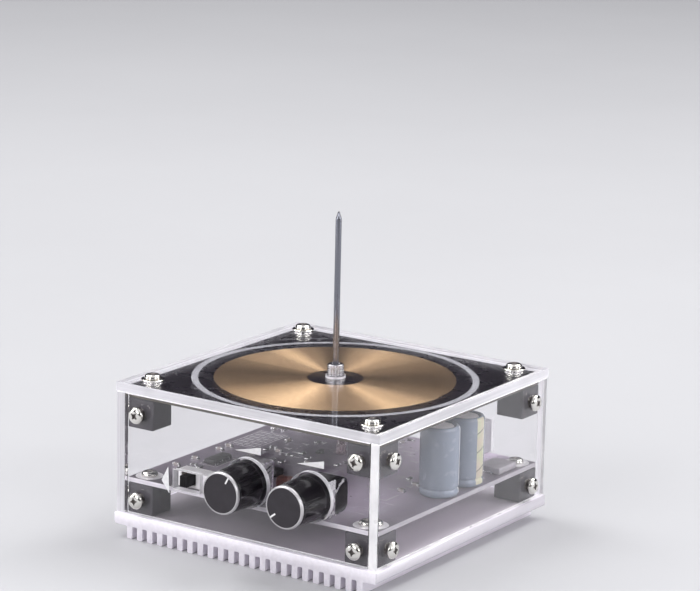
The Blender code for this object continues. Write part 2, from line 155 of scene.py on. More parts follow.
M["window_edge"] = Mat("acrylic_window_edge", (0.84, 0.82, 0.86), 0.4, 0, Transmission_Weight=0.4, IOR=1.49)
M["window_edge"].vary_rough(140, 0.05, detail=2).vary_colour(900, (0.70, 0.68, 0.72), detail=2).bump(2600, 0.1, 0.00001)
# a lighter copy of the cut-edge finish, used on the right panel's edges: painted light
M["front_edge"] = Mat("acrylic_cut_edge_painted_light", (1.0, 0.985, 1.0), 0.30, 0, Transmission_Weight=0.08, IOR=1.49)
M["front_edge"].vary_rough(140, 0.05, detail=2).vary_colour(120, (0.72, 0.70, 0.735), (1, 1, 0.6), detail=4, a=0.42, b=0.72).bump(2600, 0.1, 0.00001)
for key, clear in (("acrylic", 0.93), ("edge", 0.7), ("lid_edge", 0.7), ("window_edge", 0.75), ("front_edge", 0.7)):
    mat = M[key]
    out = mat.t.nodes["Material Output"]
    path = mat.node("ShaderNodeLightPath")
    thin = mat.node("ShaderNodeBsdfTransparent")
    thin.inputs["Color"].default_value = (clear, clear, clear, 1)
    mix = mat.node("ShaderNodeMixShader")
    mat.link(path.outputs["Is Shadow Ray"], mix.inputs[0])
    mat.link(mat.b.outputs[0], mix.inputs[1])
    mat.link(thin.outputs[0], mix.inputs[2])
    mat.link(mix.outputs[0], out.inputs["Surface"])

M["sink"] = Mat("anodised_aluminium", (0.965, 0.925, 0.995), 0.46, 0.55, Specular_IOR_Level=0.6)
M["sink"].vary_rough(1500, 0.07, (1, 0.03, 1)).vary_colour(700, (0.90, 0.86, 0.93), (1, 0.02, 1))
M["sink"].bump(2600, 0.16, 0.00004, (1, 0.02, 1)).bump(6000, 0.1, 0.00002)

M["nylon"] = Mat("dark_nylon", (0.019, 0.0145, 0.023), 0.5, 0, Specular_IOR_Level=0.4)
M["nylon"].vary_rough(1200, 0.08).vary_colour(300, (0.030, 0.024, 0.034)).bump(5200, 0.22, 0.00003)
# a darker copy of the anodised finish for the heat sink's top: painted shade, graded further in inner_face below
M["sink_top_painted_shade"] = Mat("anodised_inner_face_painted_shade", (0.86, 0.785, 0.88), 0.5, 0.45, Specular_IOR_Level=0.5)
M["sink_top_painted_shade"].vary_rough(1500, 0.07, (1, 0.03, 1)).bump(2600, 0.16, 0.00004, (1, 0.02, 1)).bump(6000, 0.1, 0.00002)
M["hole"] = Mat("dark_thread", (0.02, 0.018, 0.02), 0.6).vary_rough(2000, 0.1)

M["board"] = Mat("black_solder_mask", (0.006, 0.0045, 0.007), 0.28, 0, Coat_Weight=0.06, Coat_Roughness=0.14)
M["board"].vary_rough(160, 0.02).vary_colour(60, (0.008, 0.006, 0.009)).bump(3600, 0.03, 0.00001)
M["main_board"] = Mat("main_solder_mask", (0.134, 0.110, 0.145), 0.34, 0, Coat_Weight=0.3, Coat_Roughness=0.18)
M["main_board"].vary_rough(120, 0.06).vary_colour(40, (0.158, 0.132, 0.170), detail=3).bump(3600, 0.05, 0.00002)
M["main_edge"] = Mat("main_board_cut_edge", (0.30, 0.28, 0.315), 0.5)
M["main_edge"].vary_colour(1500, (0.38, 0.355, 0.39), (0.1, 0.1, 1)).bump(4000, 0.3, 0.00004, (0.2, 0.2, 1))
# a lighter copy of the main board's cut edge, for its front face: painted light
M["lit_edge"] = Mat("main_board_front_edge_painted_light", (0.66, 0.63, 0.68), 0.45)
M["lit_edge"].vary_colour(1500, (0.55, 0.52, 0.57), (0.1, 0.1, 1)).bump(4000, 0.3, 0.00004, (0.2, 0.2, 1))
M["board_edge"] = Mat("board_cut_edge", (0.055, 0.045, 0.038), 0.62)
M["board_edge"].vary_colour(1800, (0.10, 0.085, 0.065), (0.1, 0.1, 1)).bump(4000, 0.35, 0.00005, (0.2, 0.2, 1))
M["track"] = Mat("masked_track", (0.155, 0.14, 0.17), 0.32, 0, Coat_Weight=0.25, Coat_Roughness=0.16)
M["track"].vary_rough(400, 0.05).vary_colour(120, (0.18, 0.163, 0.195))
M["print"] = Mat("white_print", (0.36, 0.36, 0.385), 0.48)
M["print"].vary_colour(1500, (0.31, 0.31, 0.335)).bump(6000, 0.2, 0.00002)
M["print_main"] = Mat("bright_white_print", (0.72, 0.71, 0.73), 0.48)
M["print_main"].vary_colour(1500, (0.62, 0.61, 0.63)).bump(6000, 0.2, 0.00002)
M["fill"] = Mat("white_engraving_fill", (0.86, 0.85, 0.86), 0.55)
M["fill"].vary_colour(900, (0.74, 0.73, 0.75)).bump(5000, 0.3, 0.00003)
M["tin"] = Mat("tinned_ring", (0.74, 0.72, 0.75), 0.36, 0.35)
M["tin"].vary_rough(1800, 0.1).vary_colour(700, (0.64, 0.62, 0.65)).bump(2200, 0.25, 0.00003)
M["pad"] = Mat("solder", (0.74, 0.74, 0.75), 0.24, 1.0)
M["pad"].vary_rough(1800, 0.1).bump(2200, 0.25, 0.00005)

M["gold"] = Mat("gold_spiral_painted_fans", (0.86, 0.60, 0.33), 0.34, 0.82, Anisotropic=0.8)
M["gold"].vary_rough(60, 0.03)
g = M["gold"]
tangent = g.node("ShaderNodeTangent", direction_type='RADIAL', axis='Z')
g.link(tangent.outputs["Tangent"], g.b.inputs["Tangent"])
# painted highlight fans: the base colour is ramped by angle round the axis, fixed to the disc, standing in for the
# light the fine turns scatter
sep_xy = g.node("ShaderNodeSeparateXYZ")
g.link(g.coord.outputs["Object"], sep_xy.inputs[0])
turn_node = g.node("ShaderNodeMath", operation='ARCTAN2')
g.link(sep_xy.outputs["Y"], turn_node.inputs[0])
g.link(sep_xy.outputs["X"], turn_node.inputs[1])
unit = g.node("ShaderNodeMapRange")
unit.inputs["From Min"].default_value = -math.pi
unit.inputs["From Max"].default_value = math.pi
g.link(turn_node.outputs[0], unit.inputs["Value"])
painted_highlight_fan = g.node("ShaderNodeValToRGB")
g.link(unit.outputs["Result"], painted_highlight_fan.inputs[0])
painted_fan_tones = {"dark": (0.22, 0.155, 0.10), "low": (0.34, 0.24, 0.15), "mid": (0.50, 0.35, 0.215),
         "high": (0.72, 0.51, 0.31), "lit": (1.0, 0.72, 0.44)}
painted_fan_stops = [(-180, "low"), (-158, "dark"), (-132, "low"), (-108, "high"), (-82, "lit"), (-69, "high"), (-56, "mid"),
         (-41, "mid"), (-29, "lit"), (-18, "high"), (4, "low"), (34, "dark"), (66, "low"), (84, "mid"), (98, "high"),
         (111, "mid"), (124, "dark"), (140, "mid"), (151, "lit"), (163, "mid")]
for k, (deg, tone) in enumerate(painted_fan_stops):
    at_pos = (deg + 180) / 360
    e = painted_highlight_fan.color_ramp.elements[k] if k < 2 else painted_highlight_fan.color_ramp.elements.new(at_pos)
    e.position = at_pos
    e.color = (*painted_fan_tones[tone], 1)
painted_highlight_fan.color_ramp.interpolation = 'EASE'
fine = g.noise(500, (1, 1, 1), 6)
shade = g.node("ShaderNodeMix", data_type='RGBA', blend_type='MULTIPLY')
shade.inputs[0].default_value = 1.0
g.link(painted_highlight_fan.outputs["Color"], shade.inputs[6])
tint = g.node("ShaderNodeMapRange")
tint.inputs["From Min"].default_value = 0.3
tint.inputs["From Max"].default_value = 0.7
tint.inputs["To Min"].default_value = 0.92
tint.inputs["To Max"].default_value = 1.06
g.link(fine, tint.inputs["Value"])
g.link(tint.outputs["Result"], shade.inputs[7])
g.link(shade.outputs[2], g.b.inputs["Base Color"])
M["gold_gap"] = Mat("spiral_gap", (0.16, 0.105, 0.06), 0.4, 0.6).vary_rough(300, 0.08)

M["nickel"] = Mat("nickel_plate", (0.80, 0.785, 0.75), 0.16, 1.0)
M["nickel"].vary_rough(900, 0.07).vary_colour(260, (0.72, 0.70, 0.655)).bump(2400, 0.06, 0.00003)
# a darker copy of the nickel for the cross recess: painted shade
M["recess"] = Mat("nickel_recess_painted_shade", (0.27, 0.245, 0.235), 0.4, 0.9).vary_rough(900, 0.07)
# polished steel, its colour held at about half of plain steel's: painted shade for the dark it mirrors
M["steel"] = Mat("polished_steel", (0.227, 0.232, 0.265), 0.2, 0.95)
M["steel"].vary_rough(1500, 0.05, (1, 1, 0.05)).vary_colour(300, (0.20, 0.205, 0.238), (1, 1, 0.1))
# knurled nickel, its colour held at about two thirds of plain nickel's: painted shade for the dark it mirrors
M["hub"] = Mat("knurled_nickel", (0.44, 0.43, 0.455), 0.25, 1.0)
M["hub"].vary_rough(1500, 0.07).vary_colour(500, (0.375, 0.36, 0.39)).bump(3000, 0.1, 0.00003)
M["steel"].bump(3000, 0.08, 0.00003, (1, 1, 0.03))

M["knob"] = Mat("gloss_black", (0.0045, 0.0035, 0.0055), 0.22, 0, Coat_Weight=0.25, Coat_Roughness=0.08)
M["knob"].vary_rough(900, 0.09, (1, 0.03, 1)).vary_colour(200, (0.008, 0.006, 0.009)).bump(1500, 0.10, 0.00004, (1, 0.02, 1))
M["knob_face"] = Mat("spun_black", (0.0155, 0.0115, 0.0165), 0.38, 0.1)
M["knob_face"].vary_rough(1200, 0.06).vary_colour(260, (0.021, 0.017, 0.023)).bump(5200, 0.18, 0.00002)
M["knob_ring"] = Mat("turned_edge", (0.56, 0.545, 0.56), 0.34, 0.8).vary_rough(2500, 0.06)
M["knob_ring"].bump(5000, 0.1, 0.00002)
M["pointer"] = Mat("white_paint", (0.88, 0.87, 0.87), 0.42).vary_colour(2500, (0.80, 0.79, 0.79))

M["pot"] = Mat("zinc_plate", (0.34, 0.325, 0.35), 0.42, 0.6)
M["pot"].vary_rough(700, 0.1).vary_colour(220, (0.28, 0.265, 0.285)).bump(1800, 0.12, 0.00004)
M["shell"] = Mat("satin_tinplate", (0.96, 0.94, 0.96), 0.40, 0.25)
M["shell"].vary_rough(600, 0.09).vary_colour(200, (0.86, 0.84, 0.86)).bump(1600, 0.12, 0.00004)
M["bright"] = Mat("bright_tinplate", (0.86, 0.85, 0.86), 0.27, 1.0)
M["bright"].vary_rough(600, 0.09).vary_colour(200, (0.76, 0.75, 0.76)).bump(1600, 0.12, 0.00004)
M["black"] = Mat("satin_black_plastic", (0.022, 0.020, 0.023), 0.4)
M["black"].vary_rough(900, 0.08).vary_colour(240, (0.032, 0.029, 0.033)).bump(4200, 0.2, 0.00003)
M["deep_black"] = Mat("matt_black_moulding", (0.006, 0.005, 0.0065), 0.5, 0, Specular_IOR_Level=0.25)
M["deep_black"].vary_rough(900, 0.08).vary_colour(240, (0.011, 0.009, 0.012)).bump(4200, 0.2, 0.00003)
M["grey_plastic"] = Mat("satin_grey_plastic", (0.31, 0.295, 0.335), 0.42)
M["grey_plastic"].vary_rough(900, 0.08).vary_colour(240, (0.36, 0.345, 0.385)).bump(4200, 0.2, 0.00003)
M["bore"] = Mat("threaded_bore", (0.15, 0.13, 0.125), 0.34, 0.85)
M["bore"].vary_rough(900, 0.07).vary_colour(1500, (0.06, 0.05, 0.05)).bump(2600, 0.5, 0.00008)
M["bakelite"] = Mat("brown_laminate", (0.20, 0.10, 0.045), 0.55)
M["bakelite"].vary_colour(500, (0.28, 0.15, 0.07)).bump(2600, 0.2, 0.00004)

M["sleeve"] = Mat("blue_grey_sleeve", (0.195, 0.225, 0.29), 0.24, 0, Coat_Weight=0.4, Coat_Roughness=0.15)
M["sleeve"].vary_rough(300, 0.06).vary_colour(60, (0.165, 0.195, 0.255), (1, 1, 0.3)).bump(260, 0.06, 0.0002, (1, 1, 0.5))
M["stripe"] = Mat("pale_stripe", (0.43, 0.46, 0.285), 0.34, 0, Coat_Weight=0.3, Coat_Roughness=0.15)
M["stripe"].vary_colour(150, (0.47, 0.40, 0.32), (1, 1, 0.7), a=0.42, b=0.6)
# pale stripe of the front capacitor: a polarity stripe, and a painted highlight down its right rim
M["stripe_and_painted_highlight"] = Mat("stripe_and_painted_highlight", (0.58, 0.58, 0.60), 0.3, 0, Coat_Weight=0.3, Coat_Roughness=0.15)
M["stripe_and_painted_highlight"].vary_colour(140, (0.50, 0.51, 0.52), (1, 1, 0.5))
M["dash"] = Mat("dark_dash", (0.10, 0.11, 0.10), 0.4).vary_colour(900, (0.13, 0.14, 0.13))
# the can top is a pale non-metal so it reads light under the board: painted light
M["can"] = Mat("spun_can_top", (0.90, 0.86, 0.90), 0.5, 0.0)
M["can"].vary_rough(700, 0.05).vary_colour(300, (0.84, 0.80, 0.84)).bump(2500, 0.04, 0.00002)
M["rubber"] = Mat("black_rubber_seal", (0.02, 0.02, 0.02), 0.7).vary_rough(800, 0.1)

M["film"] = Mat("red_brown_epoxy", (0.135, 0.040, 0.036), 0.28, 0, Coat_Weight=0.4, Coat_Roughness=0.15)
M["film"].vary_colour(420, (0.19, 0.07, 0.06)).bump(380, 0.16, 0.0003)
M["ic"] = Mat("moulded_epoxy", (0.030, 0.029, 0.031), 0.5)
M["ic"].vary_rough(1500, 0.08).bump(5200, 0.3, 0.00003).vary_colour(300, (0.042, 0.04, 0.043))
M["lens"] = Mat("red_lens", (0.60, 0.47, 0.53), 0.10, 0, Transmission_Weight=0.7, IOR=1.52).vary_rough(300, 0.04)
M["ceramic"] = Mat("tan_ceramic", (0.30, 0.26, 0.255), 0.42).vary_colour(700, (0.36, 0.32, 0.32)).bump(3000, 0.2, 0.00003)
M["chip"] = Mat("grey_chip", (0.085, 0.078, 0.09), 0.45).vary_colour(700, (0.11, 0.10, 0.115)).bump(3000, 0.2, 0.00003)
M["moulded"] = Mat("grey_moulded_block", (0.27, 0.25, 0.28), 0.4).vary_colour(400, (0.33, 0.305, 0.335))
M["moulded"].vary_rough(900, 0.08).bump(3600, 0.2, 0.00003)
M["copper"] = Mat("enamelled_copper", (0.72, 0.26, 0.12), 0.26, 1.0, Coat_Weight=0.4, Coat_Roughness=0.1)
M["copper"].vary_rough(700, 0.07)
M["ferrite"] = Mat("grey_ferrite", (0.06, 0.058, 0.06), 0.55).bump(2800, 0.3, 0.00005).vary_rough(700, 0.1)

M["floor"] = Mat("pale_floor", (0.52, 0.52, 0.535), 0.6, 0, Specular_IOR_Level=0.15)
M["floor"].vary_colour(3.0, (0.50, 0.50, 0.515)).bump(500, 0.04, 0.0005)


def graded(key, x0, x1, lo, hi, axis="X"):
    """Multiply a material's colour by lo..hi between two places along an axis of the object, in millimetres; a painted
    gradient of light and shade.
    """
    m = M[key]
    split = m.node("ShaderNodeSeparateXYZ")
    m.link(m.coord.outputs["Object"], split.inputs[0])
    n = m.node("ShaderNodeMapRange", interpolation_type='SMOOTHSTEP')
    n.inputs["From Min"].default_value = x0 * 0.001
    n.inputs["From Max"].default_value = x1 * 0.001
    n.inputs["To Min"].default_value = lo
    n.inputs["To Max"].default_value = hi
    m.link(split.outputs[axis], n.inputs["Value"])
    mul = m.node("ShaderNodeMix", data_type='RGBA', blend_type='MULTIPLY')
    mul.inputs[0].default_value = 1.0
    mul.inputs[6].default_value = (*m.base, 1)
    if m.b.inputs["Base Color"].links:
        m.link(m.b.inputs["Base Color"].links[0].from_socket, mul.inputs[6])
    m.link(n.outputs["Result"], mul.inputs[7])
    m.link(mul.outputs[2], m.b.inputs["Base Color"])


# painted light and shade on the main board and its tracks: up to four times lighter across the middle, darker again
# towards the right edge and darker towards the front
for key in ("main_board", "track"):
    graded(key, -15, 22, 1.0, 4.2)
    graded(key, 26, 45, 1.0, 0.2)
    graded(key, -45, -30, 0.45, 1.0, "Y")
# painted shade: the heat sink's right end face is darkened
graded("sink", 49.9, 50.3, 1.0, 0.80)


def inner_face():
    """The heat sink's top, with painted shade: darker inside the case, darkest towards the left, and lighter on the rim
    outside it.
    """
    m = M["sink_top_painted_shade"]
    graded("sink_top_painted_shade", 12, 42, 0.40, 0.74)
    graded_out = m.b.inputs["Base Color"].links[0].from_socket
    split = m.node("ShaderNodeSeparateXYZ")
    m.link(m.coord.outputs["Object"], split.inputs[0])
    size = []
    for axis in "XY":
        a = m.node("ShaderNodeMath", operation='ABSOLUTE')
        m.link(split.outputs[axis], a.inputs[0])
        size.append(a)
    far = m.node("ShaderNodeMath", operation='MAXIMUM')
    m.link(size[0].outputs[0], far.inputs[0])
    m.link(size[1].outputs[0], far.inputs[1])
    rim = m.node("ShaderNodeMapRange")
    rim.inputs["From Min"].default_value = 0.0466
    rim.inputs["From Max"].default_value = 0.0472
    m.link(far.outputs[0], rim.inputs["Value"])
    mix = m.node("ShaderNodeMix", data_type='RGBA')
    mix.inputs[7].default_value = (0.88, 0.85, 0.915, 1)
    m.link(graded_out, mix.inputs[6])
    m.link(rim.outputs["Result"], mix.inputs[0])
    m.link(mix.outputs[2], m.b.inputs["Base Color"])


inner_face()



# =================================================================== geometry
def mesh_from(bm, name, mats, smooth=30.0):
    bmesh.ops.scale(bm, vec=(MM, MM, MM), verts=bm.verts)
    me = bpy.data.meshes.new(name)
    bm.to_mesh(me)
    bm.free()
    for m in mats:
        me.materials.append(M[m].m)
    if smooth is not None:
        me.shade_smooth()
        me.set_sharp_from_angle(angle=math.radians(smooth))
    return me


def place(name, me, matrix=None):
    o = bpy.data.objects.new(name, me)
    sc.collection.objects.link(o)
    if matrix is not None:
        o.matrix_world = matrix
    return o


def piece(name, bm, mats, body="case", nodes=(), smooth=30.0, matrix=None):
    o = place(name, mesh_from(bm, name, mats if isinstance(mats, (list, tuple)) else [mats], smooth), matrix)
    return dress(o, body, nodes)


def dress(o, body, nodes=()):
    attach(o, body)
    if nodes:
        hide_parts(*([nodes] if isinstance(nodes, str) else nodes))
    return o


def at(x, y, z, direction=(0, 0, 1), turn=0.0):
    rot = Vector(direction).to_track_quat('Z', 'Y').to_matrix().to_4x4()
    return Matrix.Translation(Vector((x, y, z)) * MM) @ rot @ Matrix.Rotation(math.radians(turn), 4, 'Z')


def add_box(bm, lo, hi, bevel=0.0, seg=2, mat=0, matrix=None):
    r = bmesh.ops.create_cube(bm, size=1.0)
    vs = r["verts"]
    size = [h - l for l, h in zip(lo, hi)]
    c = [(h + l) / 2 for l, h in zip(lo, hi)]
    bmesh.ops.scale(bm, vec=size, verts=vs)
    bmesh.ops.translate(bm, vec=c, verts=vs)
    faces = list({f for v in vs for f in v.link_faces})
    edges = list({e for v in vs for e in v.link_edges})
    if bevel:
        out = bmesh.ops.bevel(bm, geom=edges, offset=bevel, segments=seg, profile=0.5, affect='EDGES')
        faces = list(set([f for f in faces if f.is_valid] + [f for f in out["faces"] if f.is_valid]))
        for v in out["verts"]:
            for f in v.link_faces:
                if f not in faces:
                    faces.append(f)
    for f in faces:
        f.material_index = mat
    vs = list({v for f in faces for v in f.verts})
    if matrix is not None:
        bmesh.ops.transform(bm, matrix=matrix, verts=vs)
    return vs


def add_turned(bm, profile, seg=48, mat=0, matrix=None, mats=None, phase=0.0):
    """Spin (radius, z) round Z; mats gives a material per band."""
    rings = []
    for r, z in profile:
        if r < 1e-6:
            rings.append([bm.verts.new((0, 0, z))])
        else:
            rings.append([bm.verts.new((r * math.cos(phase + 2 * math.pi * i / seg),
                                        r * math.sin(phase + 2 * math.pi * i / seg), z)) for i in range(seg)])
    made = []
    for k, (a, b) in enumerate(zip(rings, rings[1:])):
        for i in range(seg):
            j = (i + 1) % seg
            if len(a) == 1 and len(b) == 1:
                continue
            if len(a) == 1:
                f = bm.faces.new((a[0], b[i], b[j]))
            elif len(b) == 1:
                f = bm.faces.new((a[i], b[0], a[j]))
            else:
                f = bm.faces.new((a[i], b[i], b[j], a[j]))
            f.material_index = mats[k] if mats else mat
            made.append(f)
    vs = [v for ring in rings for v in ring]
    if matrix is not None:
        bmesh.ops.transform(bm, matrix=matrix, verts=vs)
    return vs, made


def fix(bm):
    bmesh.ops.recalc_face_normals(bm, faces=bm.faces)
    return bm


def mmat(x, y, z, direction=(0, 0, 1), turn=0.0):
    """Placement in millimetres, for use inside a bmesh."""
    rot = Vector(direction).to_track_quat('Z', 'Y').to_matrix().to_4x4()
    return Matrix.Translation(Vector((x, y, z))) @ rot @ Matrix.Rotation(math.radians(turn), 4, 'Z')


def tool(build):
    bm = bmesh.new()
    build(bm)
    fix(bm)
    return bm


def cut(bm, cutters, bevel=0.0, seg=2, angle=40.0, operation='DIFFERENCE'):
    """Boolean in millimetres, then an even bevel on the sharp edges; gives a new bmesh."""
    def to_obj(b, n):
        me = bpy.data.meshes.new(n)
        b.to_mesh(me)
        b.free()
        o = bpy.data.objects.new(n, me)
        sc.collection.objects.link(o)
        return o
    base = to_obj(fix(bm), "tmp_base")
    others = []
    for i, c in enumerate(cutters):
        o = to_obj(c, "tmp_cut%d" % i)
        others.append(o)
        mod = base.modifiers.new("b%d" % i, 'BOOLEAN')
        mod.operation = operation
        mod.solver = 'EXACT'
        mod.object = o
    if bevel:
        mod = base.modifiers.new("bevel", 'BEVEL')
        mod.width = bevel
        mod.segments = seg
        mod.limit_method = 'ANGLE'
        mod.angle_limit = math.radians(angle)
        mod.use_clamp_overlap = True
        mod.miter_outer = 'MITER_ARC'
    bpy.context.view_layer.update()
    me = bpy.data.meshes.new_from_object(base.evaluated_get(bpy.context.evaluated_depsgraph_get()))
    out = bmesh.new()
    out.from_mesh(me)
    for o in [base] + others:
        bpy.data.objects.remove(o, do_unlink=True)
    bpy.data.meshes.remove(me)
    return out


def cyl_tool(x, y, z, direction, r, length, seg=48):
    return tool(lambda b: add_turned(b, [(0, 0), (r, 0), (r, length), (0, length)], seg,
                                     matrix=mmat(x, y, z, direction)))


def box_tool(lo, hi, bevel=0.0):
    return tool(lambda b: add_box(b, lo, hi, bevel, 3))


# ------------------------------------------------------------------ heat sink
def heat_sink():
    bm = bmesh.new()
    q = SINK_W / 2
    pts = [(-q, Z_SINK - 0.3), (-q, FIN_H + 0.95), (-q + 0.09, FIN_H + 0.55), (-q + 0.28, FIN_H + 0.28),
           (-q + 0.55, FIN_H + 0.09), (-q + 0.95, FIN_H)]
    soft, root = 0.42, 0.35
    for i in range(23):
        x = (i - 11) * 4.03
        l, r = x - 1.1, x + 1.1
        pts += [(l - root, FIN_H), (l - root * 0.3, FIN_H - root * 0.3), (l, FIN_H - root)]
        for a in (0, 30, 60, 90):
            pts.append((l + soft - soft * math.cos(math.radians(a)), soft - soft * math.sin(math.radians(a))))
        for a in (90, 60, 30, 0):
            pts.append((r - soft + soft * math.cos(math.radians(a)), soft - soft * math.sin(math.radians(a))))
        pts += [(r, FIN_H - root), (r + root * 0.3, FIN_H - root * 0.3), (r + root, FIN_H)]
    w = SINK_W / 2
    pts += [(w - 0.95, FIN_H), (w - 0.55, FIN_H + 0.09), (w - 0.28, FIN_H + 0.28), (w - 0.09, FIN_H + 0.55),
            (w, FIN_H + 0.95), (w, Z_SINK - 0.3),
            (w - 0.09, Z_SINK - 0.09), (w - 0.3, Z_SINK), (-w + 0.3, Z_SINK), (-w + 0.09, Z_SINK - 0.09)]
    face = bm.faces.new([bm.verts.new((x, -w, z)) for x, z in pts])
    out = bmesh.ops.extrude_face_region(bm, geom=[face])
    bmesh.ops.translate(bm, vec=(0, SINK_W, 0), verts=[v for v in out["geom"] if isinstance(v, bmesh.types.BMVert)])
    bm = cut(bm, [], bevel=0.14, seg=2, angle=60)
    # the top faces take the darker copy of the anodised finish: painted shade
    for f in bm.faces:
        if f.normal.z > 0.95 and f.calc_center_median().z > Z_SINK - 0.05:
            f.material_index = 1
    return piece("heat_sink_body", bm, ["sink", "sink_top_painted_shade"], nodes="heat_sink", smooth=38)


heat_sink()


# -------------------------------------------------------------- corner blocks
def block_mesh():
    h = BLOCK / 2
    bm = bmesh.new()
    add_box(bm, (-h, -h, -h), (h, h, h))
    holes = [cyl_tool(h - 3, 0, 0, (1, 0, 0), 1.65, 6, 32), cyl_tool(0, h - 3, 0, (0, 1, 0), 1.65, 6, 32),
             cyl_tool(0, 0, h - 3, (0, 0, 1), 1.65, 6, 32)]
    bm = cut(bm, holes, bevel=0.32, seg=3, angle=50)
    for f in bm.faces:
        c = f.calc_center_median()
        if max(abs(c.x), abs(c.y), abs(c.z)) < h - 0.35 and min(abs(c.x), abs(c.y), abs(c.z)) < 1.7 and f.calc_area() < 3:
            f.material_index = 1
    return mesh_from(bm, "corner_block", ["nylon", "hole"], 32)


blk = block_mesh()
for level, z in (("lower", Z_LOW), ("upper", Z_HIGH)):
    for corner, (sx, sy, turn) in corners.items():
        o = place("block_%s_%s_piece" % (level, corner), blk,
                  Matrix.Translation(Vector((sx * BLOCK_C, sy * BLOCK_C, z + BLOCK / 2)) * MM)
                  @ Matrix.Rotation(math.radians(turn), 4, 'Z'))
        dress(o, "case", "block_%s_%s" % (level, corner))


# -------------------------------------------------------------------- acrylic
def sheet(name, lo, hi, holes, windows, node, edge="edge"):
    """holes: (x, y, z, direction, radius); the narrow faces get the cut-edge finish, drilled screw holes stay clear in
    the cover and take the threaded-bore finish in the walls.
    """
    bm = bmesh.new()
    add_box(bm, lo, hi)
    tools = [cyl_tool(x - d[0] * 10, y - d[1] * 10, z - d[2] * 10, d, r, 20, 64 if r > 4 else 36)
             for x, y, z, d, r in holes]
    tools += [box_tool(a, b) for a, b in windows]
    bm = cut(bm, tools, bevel=0.16, seg=2, angle=50)
    size = [h - l for l, h in zip(lo, hi)]
    thin = size.index(min(size))
    small = [(Vector(h[:3]), Vector(h[3])) for h in holes if h[4] < 3]
    for f in bm.faces:
        c = f.calc_center_median()
        near = any(((c - p) - (c - p).dot(d) * d).length < 2.1 for p, d in small)
        inside = any(a[0] - 0.2 < c.x < b[0] + 0.2 and a[2] - 0.2 < c.z < b[2] + 0.2 for a, b in windows)
        flank = thin == 1 and c.y < 0 and abs(f.normal.x) > 0.3 and abs(c.x) > 46.4
        f.material_index = 0 if abs(f.normal[thin]) > 0.95 or flank else 2 if near and thin < 2 else 0 if near else 3 if inside else 1
    return piece(name, bm, ["acrylic", edge, "bore", "window_edge"], nodes=node, smooth=14)


# the right panel's edges take the lighter copy of the cut edge: painted light
for name, sx in (("left", -1), ("right", 1)):
    a, b = sorted((sx * INNER, sx * HALF))
    sheet(name + "_acrylic", (a, -HALF, PANEL_B), (b, HALF, PANEL_T),
          [(sx * 48.5, y, z, (1, 0, 0), 1.75) for y in (-BLOCK_C, BLOCK_C) for z in SIDE_Z], [],
          name + "_panel", "edge" if sx < 0 else "front_edge")
front_holes = [(x, -48.5, z, (0, 1, 0), 1.75) for x in (-BLOCK_C, BLOCK_C) for z in SIDE_Z]
sheet("front_acrylic", (-46.8, -50, PANEL_B), (46.8, -47, PANEL_T),
      front_holes + [(x, -48.5, KNOB_Z, (0, 1, 0), 7.95) for x in KNOB_X],
      [((SW_X - 5.2, -55, SW_Z - 3.1), (SW_X + 5.2, -40, SW_Z + 3.1))], "front_panel")
sheet("back_acrylic", (-46.8, 47, PANEL_B), (46.8, 50, PANEL_T),
      [(x, 48.5, z, (0, 1, 0), 1.75) for x in (-BLOCK_C, BLOCK_C) for z in SIDE_Z],
      [((19.6, 40, 19.8), (29.2, 60, 31.1))], "back_panel")
sheet("cover_acrylic", (-LID / 2, -LID / 2, Z_LID), (LID / 2, LID / 2, Z_LT),
      [(sx * BLOCK_C, sy * BLOCK_C, 49.7, (0, 0, 1), 1.75) for sx in (-1, 1) for sy in (-1, 1)]
      + [(0, 0, 49.7, (0, 0, 1), 3.25)], [], "top_cover", "lid_edge")


# ------------------------------------------------- engraving on the front panel
def flat_shape(bm, pts, y, depth, mat=0):
    """Extrude (x, z) points from the panel face at y."""
    f = bm.faces.new([bm.verts.new((x, y, z)) for x, z in pts])
    f.material_index = mat
    out = bmesh.ops.extrude_face_region(bm, geom=[f])
    bmesh.ops.translate(bm, vec=(0, depth, 0), verts=[v for v in out["geom"] if isinstance(v, bmesh.types.BMVert)])


bm = bmesh.new()
for x0 in (-3.5, 20.1):
    flat_shape(bm, [(x0, 37.0), (x0 + 10.0, 37.0), (x0 + 10.0, 39.4)], -50.03, 0.02)
flat_shape(bm, [(-29.3, 26.8), (-31.9, 21.9), (-28.8, 18.0)], -50.03, 0.02)
fix(bm)
piece("panel_marks", bm, "fill", smooth=None)


# ------------------------------------------------------------- circuit boards
def board(name, z0, z1, centre_hole, node, finish):
    bm = bmesh.new()
    h = BOARD / 2
    add_box(bm, (-h, -h, z0), (h, h, z1))
    holes = [cyl_tool(sx * BLOCK_C, sy * BLOCK_C, z0 - 5, (0, 0, 1), 1.7, 12, 36) for sx in (-1, 1) for sy in (-1, 1)]
    if centre_hole:
        holes.append(cyl_tool(0, 0, z0 - 5, (0, 0, 1), 1.7, 12, 36))
    bm = cut(bm, holes, bevel=0.07, seg=1, angle=50)
    for f in bm.faces:
        # on the main board the front face takes the lighter copy of the cut edge: painted light
        f.material_index = 0 if abs(f.normal.z) > 0.7 else 2 if f.normal.y < -0.7 and f.calc_center_median().y < -h + 1 else 1
    return piece(name, bm, finish, nodes=node, smooth=14)


board("coil_board_laminate", Z_CB, Z_CBT, True, "coil_board", ["board", "board_edge", "board_edge"])
board("main_board_laminate", Z_BOARD, Z_BT, False, "main_board", ["main_board", "main_edge", "lit_edge"])


def ring(bm, x, y, z, r0, r1, t, seg=96, mat=0):
    add_turned(bm, [(r0, z), (r1, z), (r1, z + t), (r0, z + t), (r0, z)], seg, mat,
               Matrix.Translation((x, y, 0)))


bm = bmesh.new()
ring(bm, 0, 0, Z_CBT, 44.25, 46.45, 0.02, 180)
